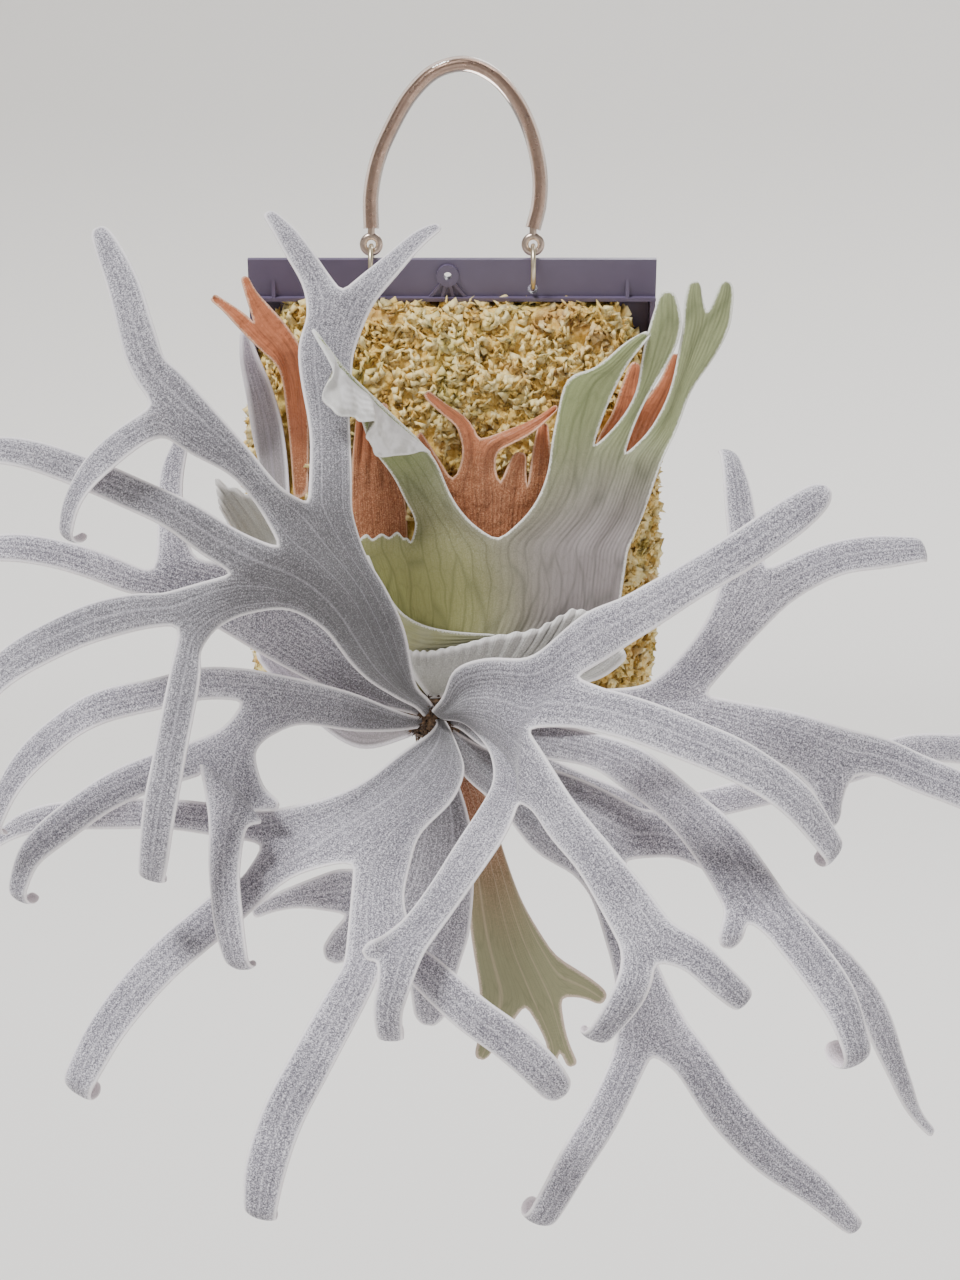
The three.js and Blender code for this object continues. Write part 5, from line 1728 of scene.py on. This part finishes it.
SHIELDS = [
    Leaf("green_shield", GREEN_SHIELD, GREEN_SKIN, "green_shield", 1.1, 3.2, Tone.LOWER_LEFT, (7, 1.6),
         ((SHIELD_FLAP, 1.0), (SHIELD_LIP, 0.16))),
    Leaf("young_shield", YOUNG_SHIELD, YOUNG_FELT, "young_shield", 1.1, 5.6),
    Leaf("dried_shield_middle", DRIED_SHIELD_MIDDLE, DRY_SKIN, "dry_shield", 1.0, 0.2, Tone.TIPS, (5, 2.6)),
    Leaf("dried_shield_left", DRIED_SHIELD_LEFT, DRY_SKIN, "dry_shield", 1.0, -0.5, Tone.TIPS, (4, 2.6)),
    Leaf("dried_shield_right", DRIED_SHIELD_RIGHT, DRY_SKIN, "dry_shield", 1.0, 0.2, Tone.TIPS, (3, 1.4)),
    Leaf("dried_lobes_left", DRIED_LOBES_LEFT, DRY_SKIN, "dry_shield", 1.0, 0.2, Tone.TIPS, (2, 2.0)),
    Leaf("grey_old_lobe", GREY_OLD_LOBE, GREY_SKIN, "grey_shield", 1.0, 0.5, Tone.FOOT, (2, 1.4)),
    Leaf("frilled_side_shield", FRILLED_SIDE_SHIELD, YOUNG_FELT, "grey_shield", 1.0, 0.2),
    Leaf("lower_left_shield", LOWER_LEFT_SHIELD, GREY_SKIN, "grey_shield", 1.1, 0.8),
]


# Repeats by Geometry Nodes


def new_tree(name: str, kinds: dict[str, str]) -> tuple[NodeTree, bpy.types.bpy_prop_collection]:
    """Makes a geometry node tree with its sockets.

    Args:
        name: The tree's name.
        kinds: Its inputs' kinds by name.

    Returns:
        The tree, and what its inputs give.
    """
    tree = bpy.data.node_groups.new(name, "GeometryNodeTree")
    for socket, kind in kinds.items():
        tree.interface.new_socket(socket, in_out="INPUT", socket_type="NodeSocket" + kind)
    tree.interface.new_socket("Result", in_out="OUTPUT", socket_type="NodeSocketGeometry")
    return tree, put(tree, "NodeGroupInput").node.outputs


def scatter_tree() -> NodeTree:
    """Builds the node tree that scatters copies of one small piece over a surface.

    Returns:
        A tree with the inputs Surface, Piece, Density, Seed, Least, Most, Sink and Finish. Copies stand
        along the surface's normal, turned and sized at random, where the surface's mark "open" is 1.
    """
    tree, given = new_tree("scatter", {
        "Surface": "Geometry", "Piece": "Object", "Density": "Float", "Seed": "Int", "Least": "Float",
        "Most": "Float", "Sink": "Float", "Finish": "Material",
    })
    seed = given["Seed"]
    is_open = put(tree, "GeometryNodeInputNamedAttribute", {"Name": "open"}, data_type="FLOAT")
    density = put(tree, MATH, (is_open, given["Density"]), operation="MULTIPLY")
    points = put(tree, "GeometryNodeDistributePointsOnFaces", {
        "Mesh": given["Surface"], "Density": density, "Seed": seed,
    }, distribute_method="RANDOM")
    spin = put(tree, RANDOM, {
        0: (-0.8, -0.8, 0.0), 1: (0.8, 0.8, 2 * math.pi), "Seed": seed,
    }, data_type="FLOAT_VECTOR")
    turned = put(tree, "FunctionNodeRotateRotation", {
        "Rotation": points.node.outputs["Rotation"], "Rotate By": spin,
    }, rotation_space="LOCAL")
    size = put(tree, RANDOM, {2: given["Least"], 3: given["Most"], "Seed": seed}, 1, data_type="FLOAT")
    shade = put(tree, RANDOM, {2: 0.0, 3: 1.0, "Seed": seed}, 1, data_type="FLOAT")
    piece = put(tree, "GeometryNodeObjectInfo", {"Object": given["Piece"]}, "Geometry")
    copies = put(tree, "GeometryNodeInstanceOnPoints", {
        "Points": points, "Instance": piece, "Rotation": turned, "Scale": size,
    })
    copies = put(tree, "GeometryNodeTranslateInstances", {
        "Instances": copies, "Translation": put(tree, "ShaderNodeCombineXYZ", {2: given["Sink"]}),
        "Local Space": True,
    })
    copies = put(tree, "GeometryNodeStoreNamedAttribute", {
        "Geometry": copies, "Name": "shade", "Value": shade,
    }, data_type="FLOAT", domain="INSTANCE")
    real = put(tree, "GeometryNodeRealizeInstances", {"Geometry": copies})
    smooth = put(tree, "GeometryNodeSetShadeSmooth", {"Geometry": real})
    dressed = put(tree, "GeometryNodeSetMaterial", {"Geometry": smooth, "Material": given["Finish"]})
    put(tree, "NodeGroupOutput", {"Result": dressed})
    return tree


def sweep_tree() -> NodeTree:
    """Builds the node tree that sweeps a round section along a curve.

    Returns:
        A tree with the inputs Path, Radius, Sides, Step and Finish, which gives a closed tube.
    """
    tree, given = new_tree("sweep", {
        "Path": "Geometry", "Radius": "Float", "Sides": "Int", "Step": "Float", "Finish": "Material",
    })
    path = put(tree, "GeometryNodeResampleCurve", {
        "Curve": given["Path"], "Length": given["Step"],
    }, mode="LENGTH")
    section = put(tree, "GeometryNodeCurvePrimitiveCircle", {
        "Resolution": given["Sides"], "Radius": given["Radius"],
    }, mode="RADIUS")
    tube = put(tree, "GeometryNodeCurveToMesh", {"Curve": path, "Profile Curve": section, "Fill Caps": True})
    real = put(tree, "GeometryNodeRealizeInstances", {"Geometry": tube})
    dressed = put(tree, "GeometryNodeSetMaterial", {"Geometry": real, "Material": given["Finish"]})
    put(tree, "NodeGroupOutput", {"Result": dressed})
    return tree


def grown(source: Object, tree: NodeTree, values: dict, name: str) -> Object:
    """Runs a node tree on an object and keeps its result as a plain mesh.

    Args:
        source: The object that carries the tree; it is removed.
        tree: The node tree.
        values: Its inputs by name.
        name: The result's name.

    Returns:
        The plain object.
    """
    modifier = source.modifiers.new("grow", "NODES")
    modifier.node_group = tree
    for item in tree.interface.items_tree:
        if item.in_out == "INPUT" and item.name in values:
            modifier[item.identifier] = values[item.name]
    source.update_tag()
    return baked(source, name)


def scattered(surface: Mesh, piece: Object, tree: NodeTree, finish: Material, density: float, seed: int,
              sizes: tuple[float, float], sink: float, name: str) -> Object:
    """Scatters copies of a small piece over a surface, and removes the piece.

    Args:
        surface: The surface, marked where it is open.
        piece: The small piece.
        tree: The scatter tree.
        finish: The copies' material.
        density: Their number for each square metre.
        seed: The seed of their places, turns and sizes.
        sizes: Their least and greatest scale.
        sink: How far they stand in the surface, in millimetres.
        name: The result's name.

    Returns:
        One object that holds all the copies.
    """
    coat = grown(add_object(name, surface), tree, {
        "Piece": piece, "Density": density, "Seed": seed, "Least": sizes[0], "Most": sizes[1],
        "Sink": -sink * MM, "Finish": finish,
    }, name)
    bpy.data.objects.remove(piece, do_unlink=True)
    return coat


# Moss: sprigs


@dataclass
class MossCoat:
    """The sprigs on the mound: short curled rosettes of leaflets, as on dried sphagnum.

    The rings are a leaflet's cross-sections, as shares of its length and of its radius.
    """

    leaflets: int = 5
    length: float = 4.6
    radius: float = 2.3
    kinds: int = 4
    density: float = 56000.0
    reach: float = 14.0
    clear: float = 3.4
    least_facing: float = -0.35
    body_shade: float = 0.4
    jitter: float = 0.3
    leans: tuple[float, float] = (0.35, 1.15)
    lengths: tuple[float, float] = (0.7, 1.25)
    rings: tuple[tuple[float, float], ...] = ((0.0, 0.6), (0.55, 1.0))
    ridge: float = 0.45
    sizes: tuple[float, float] = (0.7, 1.35)
    sink: float = 1.0

    def rosette(self, seed: int) -> Object:
        """Builds one sprig at the origin, pointing up: bent three-sided leaflets round a short axis.

        Args:
            seed: Which of the sprigs it is.

        Returns:
            The sprig's object.
        """
        rng = np.random.default_rng(seed)
        up = Vector((0, 0, 1))
        points: list[Vector] = []
        faces: list[tuple[int, ...]] = []
        for k in range(self.leaflets):
            angle = 2 * math.pi * (k + rng.uniform(-self.jitter, self.jitter)) / self.leaflets
            lean = rng.uniform(*self.leans)
            length = self.length * rng.uniform(*self.lengths)
            side = Vector((math.cos(angle), math.sin(angle), 0))
            aside = Vector((-side.y, side.x, 0))
            base = len(points)
            for share, wide in self.rings:
                bend = lean * (0.4 + 1.1 * share)
                centre = side * (math.sin(bend) * length * share) + up * (math.cos(bend) * length * share)
                across = aside * (self.radius * wide)
                out = (side * math.cos(bend) - up * math.sin(bend)) * (self.radius * wide * self.ridge)
                points += [corner * MM for corner in (centre + across, centre - across, centre + out)]
            bend = lean * 1.7
            points.append((side * (math.sin(bend) * length) + up * (math.cos(bend) * length)) * MM)
            turns = [(base + j, base + (j + 1) % 3) for j in range(3)]
            faces += [(a, b, b + 3, a + 3) for a, b in turns]
            faces += [(a + 3, b + 3, base + 6) for a, b in turns]
            faces.append((base + 2, base + 1, base))
        return add_object(f"sprig_{seed}", mesh_of(f"sprig_{seed}", points, faces, outward=True))

    def mark_open(self, mesh: Mesh, covers: list[Mesh]) -> None:
        """Marks the mound's vertices 1 where no shield lies over them, and 0 under a shield or behind.

        Args:
            mesh: The mound's mesh.
            covers: The shields' middle surfaces.
        """
        work = bmesh.new()
        for cover in covers:
            work.from_mesh(cover)
        tree = BVHTree.FromBMesh(work)
        work.free()
        out = (BOARD_TURN.to_3x3() @ Vector((0, -1, 0))).normalized()
        values = []
        for vertex in mesh.vertices:
            near = tree.find_nearest(vertex.co, self.clear * MM)[0]
            ahead = tree.ray_cast(vertex.co, out, self.reach * MM)[0]
            on_face = vertex.normal.dot(out) > self.least_facing
            values.append(float(near is None and ahead is None and on_face))
        mark(mesh, "open", values)
        mark(mesh, "shade", [self.body_shade] * len(values))

    def build(self, mound: Mesh, tree: NodeTree,
              finish: Material) -> Object:
        """Scatters the sprigs over the mound.

        Args:
            mound: The mound's mesh, marked where it is open.
            tree: The scatter tree.
            finish: The moss's material.

        Returns:
            One object that holds all the sprigs.
        """
        density = self.density / self.kinds
        layers = [
            scattered(mound.copy(), self.rosette(11 + kind), tree, finish, density, 5 + kind, self.sizes,
                      self.sink, f"moss_layer_{kind}")
            for kind in range(self.kinds)
        ]
        return joined(layers, "moss_sprigs")


# Board and bail


@dataclass
class HangingBoard:
    """The moulded board: the part's own solid with its edges eased."""

    node: str = "hanging_board"
    edge: float = 0.35
    weld: float = 0.01
    flat: float = math.radians(1)
    corner: float = math.radians(35)

    def build(self, finish: Material) -> Object:
        """Builds the board from its CAD node.

        Args:
            finish: The board's material.

        Returns:
            The board's object.
        """
        work = bmesh.new()
        work.from_mesh(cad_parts[self.node].data)
        bmesh.ops.remove_doubles(work, verts=work.verts, dist=self.weld * MM)
        bmesh.ops.dissolve_limit(work, angle_limit=self.flat, verts=work.verts, edges=work.edges)
        piece = add_object("board_shell", finish_work(work, bpy.data.meshes.new("board")))
        piece.data.materials.append(finish)
        eased = piece.modifiers.new("eased edges", "BEVEL")
        eased.width = self.edge * MM
        eased.segments = 2
        eased.limit_method = "ANGLE"
        eased.angle_limit = self.corner
        board = baked(piece, "board_shell")
        board.data.shade_smooth()
        board.modifiers.new("flat faces", "WEIGHTED_NORMAL").keep_sharp = True
        return baked(board, "board_shell")


@dataclass
class Bail:
    """The handle: a wire in a clear tube, an eye at each foot, and a ring from each eye to the rail."""

    foot_x: float = 36.0
    foot_top: float = 18.0
    wire: float = 1.6
    tube: float = 3.5
    eye: float = 3.6
    ring: float = 9.5
    ring_wire: float = 1.1
    seat: float = 0.35
    sides: int = 20
    step: float = 0.8
    arch_steps: int = 120
    round_steps: int = 48
    arc: tuple[tuple[float, float], ...] = (
        (-36, 17), (-36, 32), (-33, 47), (-27, 61), (-18, 76), (-7, 86), (5.8, 89), (17, 85),
        (27, 75), (35, 59), (39, 40), (38.5, 27), (36, 17),
    )

    def arch(self) -> list[Vector]:
        """Gives the arc's points, from the left foot to the right foot."""
        curve = SmoothCurve([Vector((x, 0, z)) for x, z in self.arc])
        return [curve.at(curve.parameter(i / self.arch_steps)) for i in range(self.arch_steps + 1)]

    def circle(self, x: float, z: float, radius: float, edge_on: bool) -> list[Vector]:
        """Gives a circle's points.

        Args:
            x: Its middle's place to the right.
            z: Its middle's height.
            radius: Its radius.
            edge_on: Whether it is seen edge-on from the front, as the rings are.

        Returns:
            The points, in order.
        """
        turns = [2 * math.pi * k / self.round_steps for k in range(self.round_steps)]
        aside = Vector((0, 1, 0) if edge_on else (1, 0, 0))
        return [Vector((x, 0, z + radius * math.sin(a))) + aside * (radius * math.cos(a)) for a in turns]

    def tubed(self, name: str, points: list[Vector], radius: float, tree: NodeTree,
              finish: Material, closed: bool = False) -> Object:
        """Sweeps a round section through points.

        Args:
            name: The piece's name.
            points: Points from the pivot, in millimetres.
            radius: The section's radius, in millimetres.
            tree: The sweep tree.
            finish: The piece's material.
            closed: Whether the path closes on itself.

        Returns:
            The piece, in metres, in the part's frame.
        """
        curve = bpy.data.curves.new(name, "CURVE")
        curve.dimensions = "3D"
        spline = curve.splines.new("POLY")
        spline.points.add(len(points) - 1)
        for target, point in zip(spline.points, points):
            target.co = (*((PIVOT + point) * MM), 1.0)
        spline.use_cyclic_u = closed
        piece = grown(add_object(name, curve), tree, {
            "Sides": self.sides, "Step": self.step * MM, "Radius": radius * MM, "Finish": finish,
        }, name)
        piece.data.shade_smooth()
        return piece

    def build(self, tree: NodeTree) -> dict[str, Object]:
        """Builds the handle's pieces.

        Args:
            tree: The sweep tree.

        Returns:
            The pieces by their CAD node's name.
        """
        steel, core, tube = (finish.material() for finish in (PLATED_WIRE, BRONZE_WIRE, CLEAR_TUBE))
        arch = self.arch()
        eye_height = self.ring - self.ring_wire - self.seat + self.eye - self.wire
        wires = [self.tubed("core", arch, self.wire, tree, core)]
        for x in (-self.foot_x, self.foot_x):
            foot = [Vector((x, 0, eye_height + self.eye * 0.8)), Vector((x, 0, self.foot_top))]
            eye = self.circle(x, eye_height, self.eye, False)
            wires.append(self.tubed("foot", foot, self.wire, tree, core))
            wires.append(self.tubed("eye", eye, self.wire, tree, core, True))
        pieces = {"bail_wire": joined(wires, "bail_core")}
        pieces["bail_sleeve"] = self.tubed("bail_tube", arch, self.tube, tree, tube)
        for node, x in (("rail_ring_left", -self.foot_x), ("rail_ring_right", self.foot_x)):
            ring = self.circle(x, 0.0, self.ring, True)
            pieces[node] = self.tubed(node + "_wire", ring, self.ring_wire, tree, steel, True)
        return pieces


# Crown


@dataclass
class Crown:
    """The bud that all the leaves grow from, under a coat of narrow scales."""

    scale_length: float = 4.5
    scale_width: float = 1.1
    density: float = 240000.0
    front: float = 0.2
    sizes: tuple[float, float] = (0.7, 1.2)
    sink: float = 0.5

    def scale(self) -> Object:
        """Builds one scale at the origin: a narrow pointed leaflet, closed.

        Returns:
            The scale's object.
        """
        length, width = self.scale_length * MM, self.scale_width * MM
        points = [
            (-width / 2, 0, 0), (width / 2, 0, 0), (0, width * 0.4, 0.1 * width),
            (-width * 0.4, 0.3 * length, 0.7 * length), (width * 0.4, 0.3 * length, 0.7 * length),
            (0, 0.36 * length, 0.68 * length), (0, 0.75 * length, length),
        ]
        faces = [(0, 1, 4, 3), (1, 2, 5, 4), (2, 0, 3, 5), (3, 4, 6), (4, 5, 6), (5, 3, 6), (2, 1, 0)]
        return add_object("scale", mesh_of("scale", points, faces, outward=True))

    def build(self, tree: NodeTree, finish: Material) -> Object:
        """Scatters the scales over the bud.

        Args:
            tree: The scatter tree.
            finish: The scales' material.

        Returns:
            One object that holds all the scales.
        """
        work = bmesh.new()
        bmesh.ops.create_icosphere(work, subdivisions=4, radius=1.0)
        front = [float(vertex.co.y < self.front) for vertex in work.verts]
        radii = Matrix.Diagonal((*BUD_RADII, 1.0))
        to_frame = BUD_FRAME @ Matrix.Translation((0, BUD_DEPTH, 0)) @ radii
        bmesh.ops.transform(work, matrix=to_frame, verts=work.verts)
        mesh = finish_work(work, bpy.data.meshes.new("bud"))
        mark(mesh, "open", front)
        return scattered(mesh, self.scale(), tree, finish, self.density, 3, self.sizes, self.sink,
                         "crown_scale_coat")


# Studio


@dataclass
class Studio:
    """The plain pale sweep, the soft lights and the camera in front of the plant."""

    lens_mm: float = 70.0
    sensor_mm: float = 36.0
    floor_z: float = -0.72
    floor_start: float = 0.8
    floor_radius: float = 3.6
    curve_radius: float = 1.2
    curve_steps: int = 16
    wall_top: float = 1.6
    sides: int = 96
    aim: tuple[float, float, float] = (0.0, -0.08, -0.25)
    sky: str = "#f3f1ef"
    sky_strength: float = 0.36

    def build(self) -> None:
        """Adds the sweep, the lights and the camera."""
        self._sweep()
        self._lights()
        self._camera()

    def _sweep(self) -> None:
        """Adds a pale round floor that curves up into a low wall on all sides."""
        profile = [(self.floor_start, self.floor_z), (self.floor_radius, self.floor_z)]
        for k in range(1, self.curve_steps + 1):
            angle = math.pi / 2 * k / self.curve_steps
            out = self.floor_radius + self.curve_radius * math.sin(angle)
            profile.append((out, self.floor_z + self.curve_radius * (1 - math.cos(angle))))
        profile.append((self.floor_radius + self.curve_radius, self.wall_top))
        turns = [2 * math.pi * k / self.sides for k in range(self.sides)]
        points = [(0.0, 0.0, self.floor_z)]
        points += [(out * math.cos(a), out * math.sin(a), z) for out, z in profile for a in turns]
        faces = [(0, 1 + k, 1 + (k + 1) % self.sides) for k in range(self.sides)]
        for ring in range(len(profile) - 1):
            first = 1 + ring * self.sides
            for k in range(self.sides):
                n = (k + 1) % self.sides
                faces.append((first + k, first + self.sides + k, first + self.sides + n, first + n))
        mesh = mesh_of("sweep", points, faces)
        mesh.materials.append(PALE_PAPER.material())
        add_object("sweep", mesh)

    def _lights(self) -> None:
        """Adds a key light high in front at the left, a weak fill, a light from behind, and a soft sky."""
        for name, kind, place_at, size, power in (
            ("key", "SUN", (-0.7, -1.0, 1.6), math.radians(15), 4.6),
            ("fill", "AREA", (1.6, -1.3, 0.1), 1.2, 3.0),
            ("back", "AREA", (0.6, 1.3, 1.3), 1.0, 24.0),
        ):
            light = bpy.data.lights.new(name, kind)
            light.energy = power
            setattr(light, "angle" if kind == "SUN" else "size", size)
            lamp = add_object(name, light)
            lamp.location = place_at
            lamp.rotation_euler = (Vector(self.aim) - lamp.location).to_track_quat("-Z", "Y").to_euler()
        world = bpy.data.worlds.new("soft_sky")
        world.use_nodes = True
        tree = world.node_tree
        tree.nodes.clear()
        sky = put(tree, "ShaderNodeBackground", {"Color": linear(self.sky), "Strength": self.sky_strength})
        put(tree, "ShaderNodeOutputWorld", {"Surface": sky})
        bpy.context.scene.world = world

    def _camera(self) -> None:
        """Puts the camera at the eye that the leaves are laid out from."""
        lens = bpy.data.cameras.new("camera")
        lens.lens = self.lens_mm
        lens.sensor_fit = "AUTO"
        lens.sensor_width = self.sensor_mm
        camera = add_object("camera", lens)
        to_frame = BOARD_TURN @ BUD_TURN
        camera.location = (to_frame @ Vector((EYE_RIGHT, -EYE_DISTANCE, EYE_UP))) * MM
        camera.rotation_euler = (to_frame.to_3x3() @ Vector((0, 1, 0))).to_track_quat("-Z", "Y").to_euler()
        bpy.context.scene.camera = camera


def settle(piece: Object, body: str, slot: str, *nodes: str) -> None:
    """Fixes a finished piece to its body, and hides the CAD nodes that it stands for.

    Args:
        piece: The piece.
        body: The body that it moves with.
        slot: The record's material slot; not used.
        *nodes: The CAD nodes that it replaces.
    """
    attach(piece, body)
    if nodes:
        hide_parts(*nodes)
    LOG.info("%s: %d faces on %s", piece.name, len(piece.data.polygons), body)


def main() -> None:
    """Builds the fern, its board and its bail, and the studio round them."""
    logging.basicConfig(level=logging.INFO, format="%(name)s %(message)s")
    finishes: dict[str, Material] = {}
    mound = MossMound()
    covers = []
    for leaf in FRONDS + SHIELDS:
        if leaf.finish.name not in finishes:
            finishes[leaf.finish.name] = leaf.finish.material()
        sheet = leaf.sheet(mound)
        piece = add_object(leaf.node + "_leaf", leaf.solid(sheet))
        piece.data.materials.append(finishes[leaf.finish.name])
        settle(piece, HOLDER, leaf.slot, leaf.node)
        if leaf.gap is not None:
            covers.append(sheet)

    scatter = scatter_tree()
    moss = MossFinish().material()
    body = add_object("moss_body", mound.mesh())
    body.data.materials.append(moss)
    coat = MossCoat()
    coat.mark_open(body.data, covers)
    mound.roughen(body.data)
    sprigs = coat.build(body.data, scatter, moss)
    settle(body, HOLDER, "moss", "moss_mound")
    settle(sprigs, HOLDER, "moss")

    crown = CROWN_SCALES.material()
    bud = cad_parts["crown_bud"]
    bud.data.materials.clear()
    bud.data.materials.append(crown)
    settle(Crown().build(scatter, crown), HOLDER, "bark")

    board = HangingBoard().build(MOULDED_BOARD.material())
    settle(board, HOLDER, "board_plastic", "hanging_board")
    for node, piece in Bail().build(sweep_tree()).items():
        settle(piece, BAIL, "tube_plastic" if node == "bail_sleeve" else "steel", node)

    Studio().build()


if __name__ == "__main__":
    main()
